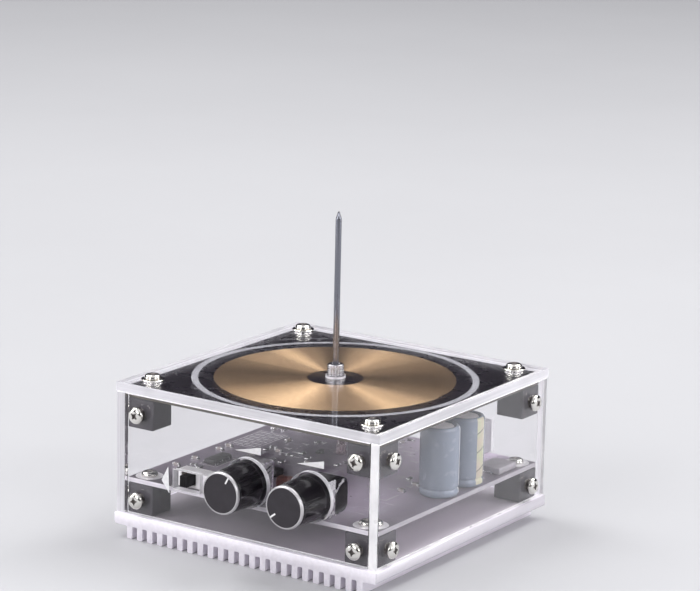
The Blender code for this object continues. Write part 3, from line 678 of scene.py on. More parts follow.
# a fine rule across the back left corner, with a dot beside it
mid = Matrix.Translation((-37.1, 35.0, 0)) @ Matrix.Rotation(math.radians(43.3), 4, 'Z')
add_box(bm, (-8.6, -0.17, Z_CBT), (8.6, 0.17, Z_CBT + 0.02), matrix=mid)
add_box(bm, (4.6, -2.6, Z_CBT), (5.6, -1.9, Z_CBT + 0.02), matrix=mid)
fix(bm)
bmesh.ops.remove_doubles(bm, verts=bm.verts, dist=0.0005)
piece("coil_board_print", bm, "print", smooth=20)

# gold spiral: one track wound from the hub outwards
bm = bmesh.new()
turns, pitch, r0 = 60, 0.498, 9.12
steps = 96
z0, z1 = Z_CBT + 0.03, Z_CBT + 0.14
last = None
for s in range(turns * steps + 1):
    a = 2 * math.pi * s / steps
    r = r0 + pitch * s / steps
    c, d = math.cos(a), math.sin(a)
    row = [bm.verts.new((q * c, q * d, z)) for q, z in ((r, z0), (r + 0.05, z1), (r + 0.37, z1), (r + 0.42, z0))]
    if last:
        for i in range(3):
            bm.faces.new((last[i], row[i], row[i + 1], last[i + 1]))
        bm.faces.new((last[3], row[3], row[0], last[0]))
    else:
        bm.faces.new(row)
    last = row
bm.faces.new(list(reversed(last)))
fix(bm)
piece("spiral_track", bm, "gold", nodes="spiral_coil", smooth=25)
bm = bmesh.new()
ring(bm, 0, 0, Z_CBT + 0.005, 9.05, 39.0, 0.02, 128)
fix(bm)
bmesh.ops.remove_doubles(bm, verts=bm.verts, dist=0.0005)
piece("spiral_ground", bm, "gold_gap", smooth=20)


# --------------------------------------------------------------------- screws
def cross_tool(top):
    def build(b):
        for turn in (0, 90):
            m = Matrix.Rotation(math.radians(turn + 20), 4, 'Z')
            vs = add_box(b, (-1.5, -0.32, top - 1.15), (1.5, 0.32, top + 1.0), matrix=None)
            for v in vs:
                if v.co.z < top:
                    v.co.x *= 0.45
                    v.co.y *= 0.75
            bmesh.ops.transform(b, matrix=m, verts=vs)
    bm = bmesh.new()
    build(bm)
    return fix(bm)


def screw_bmesh(length, washer=0.0):
    w = washer
    head = [(0, w + 1.56), (1.0, w + 1.55), (1.7, w + 1.5), (2.2, w + 1.34), (2.55, w + 1.02), (2.71, w + 0.66),
            (2.74, w + 0.3), (2.68, w + 0.06), (2.55, w)]
    bm = bmesh.new()
    add_turned(bm, head + [(0, w)], 48)
    single = []
    for turn in (0, 90):
        def build(b, turn=turn):
            vs = add_box(b, (-1.85, -0.34, w + 0.45), (1.85, 0.34, w + 3.0))
            for v in vs:
                if v.co.z < w + 1:
                    v.co.x *= 0.45
                    v.co.y *= 0.65
            bmesh.ops.transform(b, matrix=Matrix.Rotation(math.radians(turn), 4, 'Z'), verts=vs)
        single.append(tool(build))
    single.append(tool(lambda b: add_turned(b, [(0, w + 0.25), (0.7, w + 0.9), (0.98, w + 3.0), (0, w + 3.0)], 16)))
    bm = cut(bm, single, bevel=0.05, seg=2, angle=45)
    # the faces of the cross recess take the darker nickel: painted shade
    for f in bm.faces:
        c = f.calc_center_median()
        if math.hypot(c.x, c.y) < 1.75 and 0.3 < c.z - w < 1.47 and f.normal.z < 0.9 or (c.z - w < 0.6 and f.normal.z > 0.9 and math.hypot(c.x, c.y) < 1.5):
            f.material_index = 1
    # threaded shank
    prof = [(0, w + 0.12), (1.35, w + 0.12), (1.35, -0.4)]
    z = -0.5
    while z > -length + 0.5:
        prof += [(1.42, z), (1.18, z - 0.25)]
        z -= 0.5
    prof += [(1.3, z), (0.95, -length), (0, -length)]
    add_turned(bm, prof, 28, 0)
    if washer:
        add_turned(bm, [(1.6, 0), (3.62, 0), (3.75, 0.1), (3.75, w - 0.12), (3.62, w - 0.01), (1.6, w - 0.01), (1.6, 0)], 48, 0)
    fix(bm)
    return bm


short_me = mesh_from(screw_bmesh(5.9), "pan_screw_short", ["nickel", "recess"], 35)
board_me = mesh_from(screw_bmesh(4.4), "pan_screw_board", ["nickel", "recess"], 35)
cover_me = mesh_from(screw_bmesh(7.7, 0.5), "pan_screw_cover", ["nickel", "recess"], 35)
turn_of = lambda: rng.uniform(0, 90)
for corner, (sx, sy, turn) in corners.items():
    x, y = sx * BLOCK_C, sy * BLOCK_C
    dress(place("cover_screw_%s_piece" % corner, cover_me, at(x, y, Z_LT + 0.12, turn=turn_of())), "case",
          "cover_screw_" + corner)
    dress(place("board_screw_%s_piece" % corner, board_me, at(x, y, Z_BT + 0.1, turn=turn_of())), "case",
          "board_screw_" + corner)
    for level, z in zip(("lower", "upper"), SIDE_Z):
        wall = "front" if sy < 0 else "back"
        hand = "left" if sx < 0 else "right"
        n1 = "%s_screw_%s_%s" % (wall, level, hand)
        n2 = "%s_screw_%s_%s" % (hand, level, wall)
        dress(place(n1 + "_piece", short_me, at(x, sy * 50.1, z, (0, sy, 0), turn_of())), "case", n1)
        dress(place(n2 + "_piece", short_me, at(sx * 50.1, y, z, (sx, 0, 0), turn_of())), "case", n2)


# ------------------------------------------------------------ needle and hub
bm = bmesh.new()
add_turned(bm, [(0, 104.995), (0.12, 104.95), (0.35, 104.6), (0.98, 102.6), (1.0, 102.4), (1.0, 51.8), (0.9, 51.6),
                (0, 51.6)], 40)
fix(bm)
piece("needle_rod", bm, "steel", nodes="needle_electrode")


def knurled_hub():
    bm = bmesh.new()
    seg, rows = 84, 26
    z_lo, z_hi, z_top, z_seat = 50.1, 54.55, 54.9, Z_CBT + 0.2
    grid = []
    for k in range(rows + 1):
        z = z_lo + (z_hi - z_lo) * k / rows
        row = []
        for i in range(seg):
            a = 2 * math.pi * i / seg
            dip = 0.15 * (((i + k) % 4 == 0) or ((i - k) % 4 == 0))
            r = 2.69 - dip
            row.append(bm.verts.new((r * math.cos(a), r * math.sin(a), z)))
        grid.append(row)

    def loop(r, z):
        return [bm.verts.new((r * math.cos(2 * math.pi * i / seg), r * math.sin(2 * math.pi * i / seg), z))
                for i in range(seg)]

    def join(a, b):
        for i in range(seg):
            j = (i + 1) % seg
            bm.faces.new((a[i], a[j], b[j], b[i]))
    for a, b in zip(grid, grid[1:]):
        join(a, b)
    top = [grid[-1], loop(2.5, z_top - 0.12), loop(2.34, z_top), loop(1.45, z_top), loop(1.12, z_top - 0.25),
           loop(1.12, z_top - 3.6)]
    for a, b in zip(top, top[1:]):
        join(a, b)
    bm.faces.new(top[-1])
    low = [grid[0], loop(2.4, z_lo - 0.2), loop(2.4, z_lo - 0.5), loop(2.62, z_lo - 0.65), loop(2.62, z_seat + 0.2),
           loop(2.45, z_seat), loop(1.4, z_seat), loop(1.4, Z_CB - 1.9), loop(1.1, Z_CB - 2.2)]
    for a, b in zip(low, low[1:]):
        join(b, a)
    bm.faces.new(list(reversed(low[-1])))
    fix(bm)
    return piece("knurled_terminal", bm, "hub", nodes="terminal_nut", smooth=22)


knurled_hub()


# --------------------------------------------------------------------- knobs
for side, x, mark in zip(("left", "right"), KNOB_X, MARK):
    body = side + "_knob"
    place_m = mmat(x, KNOB_BACK, KNOB_Z, (0, -1, 0))
    L = KNOB_BACK - KNOB_FACE
    prof = [(3.3, 12.0), (3.3, 4.4), (4.4, 4.4), (4.4, 0.15), (4.55, 0.0), (7.0, 0.0), (7.22, 0.1), (7.29, 0.4),
            (7.28, 1.6), (6.86, L - 2.3), (6.84, L - 1.9), (6.74, L - 1.75), (6.74, L - 1.35), (6.84, L - 1.2),
            (6.84, L - 0.95)]
    ring_p = [(6.84, L - 0.95), (6.86, L - 0.75), (6.80, L - 0.42), (6.52, L - 0.04), (6.38, L), (6.24, L)]
    face_p = [(6.24, L), (6.18, L - 0.06), (6.1, L - 0.09), (4.5, L - 0.09), (3.0, L - 0.09), (1.5, L - 0.09), (0, L - 0.09)]
    bm = bmesh.new()
    pr = [(0, 12.0)] + prof
    add_turned(bm, pr, 96, matrix=place_m)
    fix(bm)
    bm2 = bm
    piece(side + "_knob_body", bm2, "knob", body=body, nodes=side + "_knob", smooth=28)
    bm = bmesh.new()
    add_turned(bm, [(6.0, L - 1.05), (6.8, L - 1.05)] + ring_p + [(6.1, L - 0.3), (6.0, L - 1.05)], 96, matrix=place_m)
    fix(bm)
    bmesh.ops.remove_doubles(bm, verts=bm.verts, dist=0.0005)
    piece(side + "_knob_edge", bm, "knob_ring", body=body, smooth=30)
    bm = bmesh.new()
    prof = [(0, L - 0.6), (6.22, L - 0.6), (6.22, L - 0.12), (6.16, L - 0.08)]
    r = 6.0
    while r > 0.3:
        prof += [(r, L - 0.085), (r - 0.1, L - 0.1)]
        r -= 0.2
    prof.append((0, L - 0.09))
    add_turned(bm, prof, 96, matrix=place_m)
    fix(bm)
    piece(side + "_knob_cap", bm, "knob_face", body=body, smooth=30)
    bm = bmesh.new()
    a = math.radians(mark)
    m = Matrix.Translation((x, KNOB_FACE, KNOB_Z)) @ Matrix.Rotation(a, 4, 'Y')
    add_box(bm, (-0.27, 0.01, 3.95), (0.27, 0.4, 6.35), 0.06, 2, matrix=m)
    fix(bm)
    piece(side + "_knob_pointer", bm, "pointer", body=body, smooth=30)
    bm = bmesh.new()
    add_turned(bm, [(0, 15.1), (2.6, 15.1), (2.98, 14.75), (2.98, 0.3), (2.7, 0), (0, 0)], 48,
               matrix=mmat(x, KNOB_BACK + 4.0, KNOB_Z, (0, -1, 0)))
    fix(bm)
    piece(side + "_shaft_rod", bm, "pot", body=body, nodes=side + "_shaft", smooth=30)


# ------------------------------------------------------------- potentiometers
def yz_prism(bm, pts, x0, x1, mat=0):
    """Extrude a side profile of (y, z) points from x0 to x1."""
    before = set(bm.faces)
    f = bm.faces.new([bm.verts.new((x0, y, z)) for y, z in pts])
    out = bmesh.ops.extrude_face_region(bm, geom=[f])
    bmesh.ops.translate(bm, vec=(x1 - x0, 0, 0), verts=[v for v in out["geom"] if isinstance(v, bmesh.types.BMVert)])
    for g2 in set(bm.faces) - before:
        g2.material_index = mat


def arc(cy, cz, r, a0, a1, n=7):
    return [(cy + r * math.cos(math.radians(a0 + (a1 - a0) * i / n)), cz + r * math.sin(math.radians(a0 + (a1 - a0) * i / n)))
            for i in range(n + 1)]


def merge(bm, other):
    tmp = bpy.data.meshes.new("t")
    other.to_mesh(tmp)
    other.free()
    bm.from_mesh(tmp)
    bpy.data.meshes.remove(tmp)


for side, x, depth, top_z in (("left", KNOB_X[0], 6.0, 33.7), ("right", KNOB_X[1], 12.4, 32.0)):
    f = -46.2
    low = Z_BT + 0.3
    bm = bmesh.new()
    # pressed front plate with the bushing through it
    plate = bmesh.new()
    add_box(plate, (x - 4.9, f, low), (x + 4.9, f + 0.9, top_z), 0.0)
    plate = cut(plate, [cyl_tool(x, f - 3, KNOB_Z, (0, 1, 0), 3.35, 8, 40)], bevel=0.2, seg=2)
    merge(bm, plate)
    prof = [(3.35, 0.6), (3.35, -4.4), (3.6, -4.4)]
    z = -4.2
    while z < -0.4:
        prof += [(3.88, z), (3.62, z + 0.28)]
        z += 0.56
    prof += [(3.88, -0.2), (3.88, 0.4), (3.35, 0.6)]
    add_turned(bm, [(r, -q) for r, q in prof], 48, 0, mmat(x, f, KNOB_Z, (0, -1, 0)))
    if side == "left":
        # folded can: its side leans in towards the board, with two louvres drawn as dark plates, painted shade for
        # their openings, and a rolled lip in bright tinplate, a painted highlight along its edges
        outline = [(f + 0.95, low), (f + 0.95, top_z - 0.1)] + arc(f + depth - 1.3, top_z - 1.3, 1.2, 90, 0) + [(f + 4.7, low)]
        yz_prism(bm, outline, x - 4.75, x + 4.65, 1)
        # the rolled lip is real, its bright tinplate a painted highlight on the can's edges
        lip = [(f + 0.95, top_z - 0.1)] + arc(f + depth - 1.3, top_z - 1.3, 1.2, 90, 0) + [(f + 4.7, low), (f + 4.1, low)] \
            + arc(f + depth - 1.9, top_z - 1.7, 0.9, 0, 90) + [(f + 0.95, top_z - 0.8)]
        yz_prism(bm, lip, x + 4.6, x + 4.82, 2)
        yz_prism(bm, lip, x - 4.9, x - 4.7, 2)
        # the louvres: dark plates on the side, painted shade for their openings
        for k in range(2):
            zz = top_z - 3.0 - 1.5 * k
            yz_prism(bm, [(f + 1.3, zz), (f + 3.9, zz + 0.9), (f + 3.9, zz + 1.3), (f + 1.3, zz + 0.4)], x + 4.6, x + 4.78, 3)
    else:
        # open frame with folded sides, a dark moulding behind it and a bent clip
        for x0, x1 in ((x - 4.85, x - 4.5), (x + 4.5, x + 4.85)):
            yz_prism(bm, [(f + 0.8, low), (f + 0.8, top_z - 0.15), (f + 4.5, top_z - 0.15), (f + 4.7, top_z - 0.4),
                          (f + 4.7, low)], x0, x1, 2)
        back = f + depth - 0.2
        outline = [(f + 1.1, low + 0.2), (f + 1.1, top_z - 0.5)] + arc(back - 3.4, top_z - 3.9, 3.4, 90, 0) \
            + arc(back - 2.6, low + 2.8, 2.6, 0, -90)
        yz_prism(bm, outline, x - 4.35, x + 4.35, 1)
        yz_prism(bm, [(f + 5.2, low + 1.2), (f + 5.2, top_z - 1.3)] + arc(back - 3.4, top_z - 3.9, 2.6, 90, 0)
                 + arc(back - 2.8, low + 3.0, 1.9, 0, -90), x - 4.6, x + 4.6, 3)
        path = [(-42.6, 27.5), (-41.4, 27.7), (-40.6, 28.1), (-39.4, 29.3), (-38.2, 30.1), (-36.9, 30.5)]
        for (ya, za), (yb, zb) in zip(path, path[1:]):
            yz_prism(bm, [(ya, za - 0.55), (yb + 0.1, zb - 0.55), (yb + 0.1, zb + 0.55), (ya, za + 0.55)], x + 4.5, x + 4.82, 2)
        # solder lug bent onto the board
        yz_prism(bm, [(f + 4.6, low), (f + 7.4, low - 0.2), (f + 7.4, low + 0.15), (f + 4.6, low + 0.5)], x + 3.4, x + 4.8, 2)
    for i in (-1, 0, 1):
        add_box(bm, (x + i * 2.5 - 0.4, f + depth - 0.2, low), (x + i * 2.5 + 0.4, f + depth + 0.0, low + 4.6), 0.05, 1, 2)
    fix(bm)
    piece(side + "_pot_body", bm, ["bright" if side == "right" else "pot", "deep_black" if side == "right" else "pot", "bright", "deep_black"],
          nodes=side + "_potentiometer", smooth=30)


# ----------------------------------------------------------------- slide switch
bm = bmesh.new()
zb = Z_BT + 0.15
add_box(bm, (SW_X - 7.3, -46.2, zb), (SW_X + 7.3, -45.7, zb + 5.5))
bm = cut(bm, [box_tool((-26.9, -50, SW_Z - 2.1), (-21.3, -40, SW_Z + 2.1)),
              cyl_tool(SW_X - 6.3, -50, SW_Z, (0, 1, 0), 0.55, 8, 24), cyl_tool(SW_X + 3.6, -50, SW_Z + 0.6, (0, 1, 0), 0.45, 8, 24)],
         bevel=0.12, seg=2)
add_box(bm, (SW_X - 6.2, -45.7, zb), (SW_X + 6.2, -42.75, zb + 0.3), 0.08, 1)
add_box(bm, (SW_X - 6.2, -45.7, zb + 5.1), (SW_X + 6.2, -40.3, zb + 5.45), 0.08, 1)
for sx in (-1, 1):
    add_box(bm, (SW_X + sx * 6.1 - 0.2, -45.7, zb), (SW_X + sx * 6.1 + 0.2, -40.3, zb + 5.4), 0.08, 1)
    for k in (1.0, 3.6):
        add_box(bm, (SW_X + sx * 6.35 - 0.08, -44.6, zb + k), (SW_X + sx * 6.35 + 0.08, -42.4, zb + k + 0.9), 0.05, 1)
fix(bm)
piece("switch_shell", bm, "shell", nodes="switch_frame", smooth=30)
bm = bmesh.new()
add_box(bm, (SW_X - 5.8, -42.6, zb + 0.35), (SW_X + 5.8, -40.4, zb + 5.0), 0.15, 2)
fix(bm)
piece("switch_base", bm, "bakelite", smooth=30)
bm = bmesh.new()
lx0, lx1 = LEVER_X - 1.5, LEVER_X + 1.5
add_box(bm, (lx0, -50.4, SW_Z - 1.8), (lx1, -43.1, SW_Z + 1.8), 0.28, 3)
slots = []
for i in range(3):
    xx = lx0 + 0.75 + i * 0.75
    slots.append(box_tool((xx - 0.14, -52, SW_Z - 3), (xx + 0.14, -50.1, SW_Z + 3)))
bm = cut(bm, slots, bevel=0.06, seg=2, angle=50)
fix(bm)
piece("switch_lever_cap", bm, "deep_black", body="switch_lever", nodes="switch_lever", smooth=30)


# ----------------------------------------------------------------- capacitors
def capacitor(name, x, y, stripe_at, node, band, half):
    R, H = 6.33, 22.8
    z0 = Z_BT + 0.15
    m = Matrix.Translation((x, y, z0))
    bm = bmesh.new()
    prof = [(0, 0.9), (4.6, 0.9), (5.0, 0.3), (5.7, 0.05), (6.05, 0.3), (R - 0.02, 0.8), (R - 0.02, 1.7),
            (R - 0.14, 2.1), (R - 0.42, 2.45), (R - 0.42, 2.6), (R - 0.14, 2.95), (R - 0.02, 3.35),
            (R, 6), (R, 16), (R - 0.02, H - 1.2), (R - 0.18, H - 0.6), (R - 0.5, H - 0.18), (R - 0.95, H - 0.02),
            (R - 1.35, H - 0.12), (R - 1.5, H - 0.3), (R - 1.9, H - 0.45)]
    add_turned(bm, prof, 96, matrix=m)
    vs = [v for v in bm.verts]
    fix(bm)
    # polarity stripe: the faces in an arc of the sleeve wall
    bm.faces.ensure_lookup_table()
    for f in bm.faces:
        c = f.calc_center_median()
        a = math.degrees(math.atan2(c.y - y, c.x - x))
        d = (a - stripe_at + 180) % 360 - 180
        if abs(d) < half and z0 + 0.9 < c.z < z0 + H - 0.1 and math.hypot(c.x - x, c.y - y) > R - 1.0:
            f.material_index = 1
    piece(name + "_sleeve", bm, ["sleeve", band], nodes=node, smooth=40)
    # slanted dashes on the stripe
    bm = bmesh.new()
    for k in range(3 if half > 10 else 0):
        zc = z0 + 6.0 + k * 6.15
        pts = []
        for i in range(9):
            t = i / 8 - 0.5
            a = math.radians(stripe_at + t * 1.9 * half)
            zz = zc + t * 1.6
            pts.append((a, zz))
        prev = None
        for a, zz in pts:
            row = [bm.verts.new((x + (R + 0.02) * math.cos(a), y + (R + 0.02) * math.sin(a), zz + d)) for d in (-0.2, 0.2)]
            back = [bm.verts.new((x + (R - 0.1) * math.cos(a), y + (R - 0.1) * math.sin(a), zz + d)) for d in (-0.2, 0.2)]
            cur = row + back[::-1]
            if prev:
                for i in range(4):
                    bm.faces.new((prev[i], prev[(i + 1) % 4], cur[(i + 1) % 4], cur[i]))
            else:
                bm.faces.new(cur)
            prev = cur
        bm.faces.new(prev[::-1])
    fix(bm)
    if bm.verts:
        piece(name + "_dashes", bm, "dash", smooth=30)
    # spun can top with a pressed relief cross
    bm = bmesh.new()
    add_turned(bm, [(0, H - 0.42), (2.0, H - 0.42), (3.6, H - 0.44), (4.25, H - 0.5), (4.4, H - 0.7), (0, H - 0.9)], 64, matrix=m)
    cuts = [box_tool((x - 3.0, y - 0.1, z0 + H - 0.48), (x + 3.0, y + 0.1, z0 + H + 1)),
            box_tool((x - 0.1, y - 3.0, z0 + H - 0.485), (x + 0.1, y + 3.0, z0 + H + 1))]
    bm = cut(bm, cuts, bevel=0.04, seg=1, angle=50)
    fix(bm)
    piece(name + "_top", bm, "can", smooth=30)


# the front cap's pale stripe is a polarity stripe and also a painted highlight along its right rim
capacitor("cap_front", 40.3, -2.8, 24.0, "capacitor_front", "stripe_and_painted_highlight", 7.0)
capacitor("cap_rear", 40.3, 12.0, -3.0, "capacitor_rear", "stripe", 17.5)

# --------------------------------------------------------------------- inlet
jx, jz = 24.4, Z_BT + 0.2
bm = bmesh.new()
add_box(bm, (jx - 4.5, 36.4, jz), (jx + 4.5, 50.6, jz + 10.8))
bm = cut(bm, [cyl_tool(jx, 41.1, jz + 6.6, (0, 1, 0), 3.2, 20, 64)], bevel=0.25, seg=3, angle=50)
fix(bm)
piece("inlet_body", bm, "grey_plastic", nodes="dc_jack", smooth=30)
bm = bmesh.new()
add_turned(bm, [(0, 8.6), (0.6, 8.5), (0.98, 8.1), (1.02, 7.6), (1.02, 0), (0, 0)], 32, matrix=mmat(jx, 41.2, jz + 6.6, (0, 1, 0)))
add_box(bm, (jx - 1.2, 41.3, jz + 3.55), (jx + 1.2, 49.5, jz + 3.7), 0.05, 1)
fix(bm)
piece("inlet_contact", bm, "bright", smooth=30)

# ------------------------------------------------------------ small big parts
# dipped film capacitor between the controls
bm = bmesh.new()
add_box(bm, (2.4, -35.6, Z_BT + 0.9), (8.4, -31.8, Z_BT + 6.8), 1.45, 6)
for v in bm.verts:
    v.co.z += 0.12 * math.sin((v.co.x - 5.4) * 1.1)
fix(bm)
piece("film_cap_body", bm, "film", nodes="film_capacitor", smooth=50)
bm = bmesh.new()
for xx in (3.6, 7.2):
    add_turned(bm, [(0, Z_BT + 2.2), (0.25, Z_BT + 2.2), (0.25, Z_BT + 0.3), (0.7, Z_BT + 0.05), (0, Z_BT + 0.05)], 16,
               matrix=Matrix.Translation((xx, -33.7, 0)))
fix(bm)
piece("film_cap_leads", bm, "pad", smooth=40)

bm = bmesh.new()
add_box(bm, (-36.2, -20.5, Z_BT + 0.2), (-32.3, -10.6, Z_BT + 1.7), 0.16, 2)
bm = cut(bm, [cyl_tool(-35.4, -11.4, Z_BT + 1.6, (0, 0, 1), 0.35, 2, 20)], bevel=0.0)
fix(bm)
piece("control_ic_body", bm, "ic", nodes="control_ic", smooth=30)
bm = bmesh.new()
for i in range(8):
    yy = -20.0 + i * 1.27
    for sx, x0 in ((-1, -36.2), (1, -32.3)):
        add_box(bm, (min(x0, x0 + sx * 0.45), yy - 0.2, Z_BT + 0.85), (max(x0, x0 + sx * 0.45), yy + 0.2, Z_BT + 1.0))
        add_box(bm, (min(x0 + sx * 0.4, x0 + sx * 0.52), yy - 0.2, Z_BT + 0.12), (max(x0 + sx * 0.4, x0 + sx * 0.52), yy + 0.2, Z_BT + 1.0))
        add_box(bm, (min(x0 + sx * 0.4, x0 + sx * 1.1), yy - 0.24, Z_BT + 0.02), (max(x0 + sx * 0.4, x0 + sx * 1.1), yy + 0.24, Z_BT + 0.14))
fix(bm)
piece("control_ic_pins", bm, "pad", smooth=None)

# low moulded inductor by the back right corner, on its two end caps
bm = bmesh.new()
add_box(bm, (36.8, 25.9, Z_BT + 0.15), (45.4, 36.6, Z_BT + 2.3), 0.45, 3, 0)
for ya, yb in ((25.6, 26.9), (35.6, 36.9)):
    add_box(bm, (39.0, ya, Z_BT + 0.05), (43.2, yb, Z_BT + 0.9), 0.12, 2, 1)
fix(bm)
piece("low_inductor", bm, ["moulded", "pad"], smooth=30)
# tab transistor between the controls and the ruled table
bm = bmesh.new()
add_box(bm, (-13.6, -19.2, Z_BT + 0.1), (-8.6, -14.6, Z_BT + 2.2), 0.25, 2, 0)
add_box(bm, (-13.2, -14.8, Z_BT + 0.1), (-9.0, -13.2, Z_BT + 0.7), 0.1, 1, 1)
for i in (-1, 0, 1):
    add_box(bm, (-11.1 + i * 1.7 - 0.35, -20.0, Z_BT + 0.7), (-11.1 + i * 1.7 + 0.35, -19.0, Z_BT + 1.3), 0.08, 1, 1)
    add_box(bm, (-11.1 + i * 1.7 - 0.35, -20.9, Z_BT + 0.05), (-11.1 + i * 1.7 + 0.35, -19.8, Z_BT + 1.2), 0.08, 1, 1)
fix(bm)
piece("tab_transistor", bm, ["ic", "pad"], smooth=30)

bm = bmesh.new()
add_turned(bm, [(0, 4.88), (0.45, 4.82), (0.85, 4.6), (1.18, 4.25), (1.4, 3.8), (1.48, 3.3), (1.5, 1.05), (1.88, 1.0),
                (1.9, 0.9), (1.9, 0.15), (1.8, 0.05), (0, 0.05)], 40, matrix=Matrix.Translation((-7.3, 16.2, Z_BT + 0.15)))
fix(bm)
piece("led_lens", bm, "lens", nodes="indicator_led", smooth=35)
bm = bmesh.new()
add_box(bm, (-7.9, 16.0, Z_BT + 0.6), (-7.55, 16.4, Z_BT + 2.9), 0.05, 1)
add_box(bm, (-7.2, 15.9, Z_BT + 0.6), (-6.6, 16.5, Z_BT + 2.6), 0.05, 1)
add_turned(bm, [(0, 0.3), (0.35, 0.45), (0.55, 0.75), (0.5, 0.0), (0, 0.0)], 20, matrix=Matrix.Translation((-6.95, 16.2, Z_BT + 2.6)))
fix(bm)
piece("led_frame", bm, "bright", smooth=30)

# power transistors flat on the heat sink
for side, x in (("left", -14.0), ("right", 9.0)):
    bm = bmesh.new()
    add_box(bm, (x - 5.0, 12.0, Z_SINK + 0.15), (x + 5.0, 21.0, Z_SINK + 4.65), 0.35, 2, 0)
    for i in (-1, 0, 1):
        lx = x + i * 2.54
        add_box(bm, (lx - 0.4, 8.6, Z_SINK + 2.4), (lx + 0.4, 12.3, Z_SINK + 2.85), 0.08, 1, 1)
        add_box(bm, (lx - 0.35, 8.65, Z_SINK + 2.5), (lx + 0.35, 9.15, Z_BOARD - 0.15), 0.08, 1, 1)
        add_turned(bm, [(0, 0), (0.45, 0), (0.9, 0.9), (0, 0.9)], 16, 1, matrix=Matrix.Translation((lx, 8.9, Z_BOARD - 0.92)))
    tab = bmesh.new()
    add_box(tab, (x - 4.9, 20.7, Z_SINK + 0.15), (x + 4.9, 27.4, Z_SINK + 1.45))
    tab = cut(tab, [cyl_tool(x, 24.6, Z_SINK - 3, (0, 0, 1), 1.8, 10, 36)], bevel=0.15, seg=2)
    for f in tab.faces:
        f.material_index = 1
    tmp = bpy.data.meshes.new("t"); tab.to_mesh(tmp); tab.free()
    bm.from_mesh(tmp); bpy.data.meshes.remove(tmp)
    fix(bm)
    piece("transistor_%s_body" % side, bm, ["ic", "bright"], nodes="power_transistor_" + side, smooth=30)


# ------------------------------------------------- tracks, print, small parts
busy = [(-5, -46.5, 31, -31), (-30.2, -46.5, -14.2, -39.5), (1.0, -37, 9.5, -30.5), (-38, -22, -30.5, -9),
        (33.0, -10.0, 46.7, 19.4), (18.9, 35.5, 29.8, 46.6), (-9.6, 13.8, -5, 18.6), (36.0, 25.0, 46.7, 37.6),
        (-14.2, -21.5, -8.0, -12.8), (26, -21, 33, -10), (36.0, -38, 46.7, -10),
        (-44.6, 3.2, -32.6, 23.4)] + [(sx * 41.9 - 4, sy * 41.9 - 4, sx * 41.9 + 4, sy * 41.9 + 4)
                                      for sx in (-1, 1) for sy in (-1, 1)]


def free(x0, y0, x1, y1):
    return all(x1 < a or x0 > c or y1 < b or y0 > d for a, b, c, d in busy)


def track_set(name, z, t, count, seed, span=44.0, keep=None):
    r = random.Random(seed)
    bm = bmesh.new()
    for _ in range(count):
        x, y = r.uniform(-span, span), r.uniform(-span, span)
        w = r.choice((0.25, 0.3, 0.4, 0.9))
        dirs = [(1, 0), (0, 1), (-1, 0), (0, -1)]
        d = r.choice(dirs)
        for _k in range(r.randint(2, 4)):
            n = r.uniform(3, 12)
            x2 = max(-span, min(span, x + d[0] * n))
            y2 = max(-span, min(span, y + d[1] * n))
            if keep is None or keep(x, y, x2, y2):
                add_box(bm, (min(x, x2) - w / 2, min(y, y2) - w / 2, z), (max(x, x2) + w / 2, max(y, y2) + w / 2, z + t))
            x, y = x2, y2
            d = (d[1], d[0]) if r.random() < 0.5 else (-d[1], -d[0])
    return bm


bm = track_set("tracks_top", Z_BT - 0.01, 0.03, 26, 3)
piece("board_tracks_top", bm, "track", smooth=None)
bm = track_set("tracks_under", Z_BOARD - 0.02, 0.03, 70, 5)
piece("board_tracks_under", bm, "track", smooth=None)

bm = bmesh.new()


def line(x0, y0, x1, y1, w=0.16, z=Z_BT):
    add_box(bm, (min(x0, x1) - w / 2, min(y0, y1) - w / 2, z), (max(x0, x1) + w / 2, max(y0, y1) + w / 2, z + 0.02))


# ruled table at the back left, with plain dashes in its cells
tx0, tx1, ty0, ty1 = -44.0, -33.3, 3.9, 22.6
for i in range(3):
    xx = tx0 + (tx1 - tx0) * i / 2
    line(xx, ty0, xx, ty1, 0.2)
for j in range(7):
    yy = ty0 + (ty1 - ty0) * j / 6
    line(tx0, yy, tx1, yy, 0.2)
    if j < 6:
        for i in range(2):
            xa = tx0 + 0.9 + i * (tx1 - tx0) / 2
            line(xa, yy + 1.6, xa + 3.4, yy + 1.6, 0.5)
# outlines round the larger parts
for a, b, c, d in ((-30.1, -46.2, -14.3, -39.8), (1.7, -36.4, 9.1, -31.0),
                   (19.4, 35.8, 29.4, 46.4), (-37.6, -21.2, -30.9, -9.9)):
    line(a, b, c, b); line(a, d, c, d); line(a, b, a, d); line(c, b, c, d)
# a corner mark and short bars behind the right control
for a, b, c, d in ((27.7, -18.9, 31.0, -18.9), (31.0, -18.9, 31.0, -11.6)):
    line(a, b, c, d, 0.42)
for x, y, n in ((-0.5, 33.5, 2.4), (5.4, 30.6, 3.0), (9.0, 27.6, 1.6), (13.6, 22.3, 2.2), (19.7, 5.7, 1.6), (21.3, 14.0, 2.0), (27.7, -1.9, 1.4),
                (-21.1, 8.4, 2.0), (-25.9, 10.6, 1.6), (-24.7, 5.5, 2.6), (-23.9, 18.2, 1.4), (-21.3, 23.2, 2.2), (24.4, 3.0, 1.2)):
    line(x, y, x + n, y, 0.45)
    line(x + n + 0.5, y - 0.9, x + n + 0.5, y + 0.9, 0.3)
r2 = random.Random(11)
pads, parts_r, parts_c, parts_b, rings = bmesh.new(), bmesh.new(), bmesh.new(), bmesh.new(), bmesh.new()


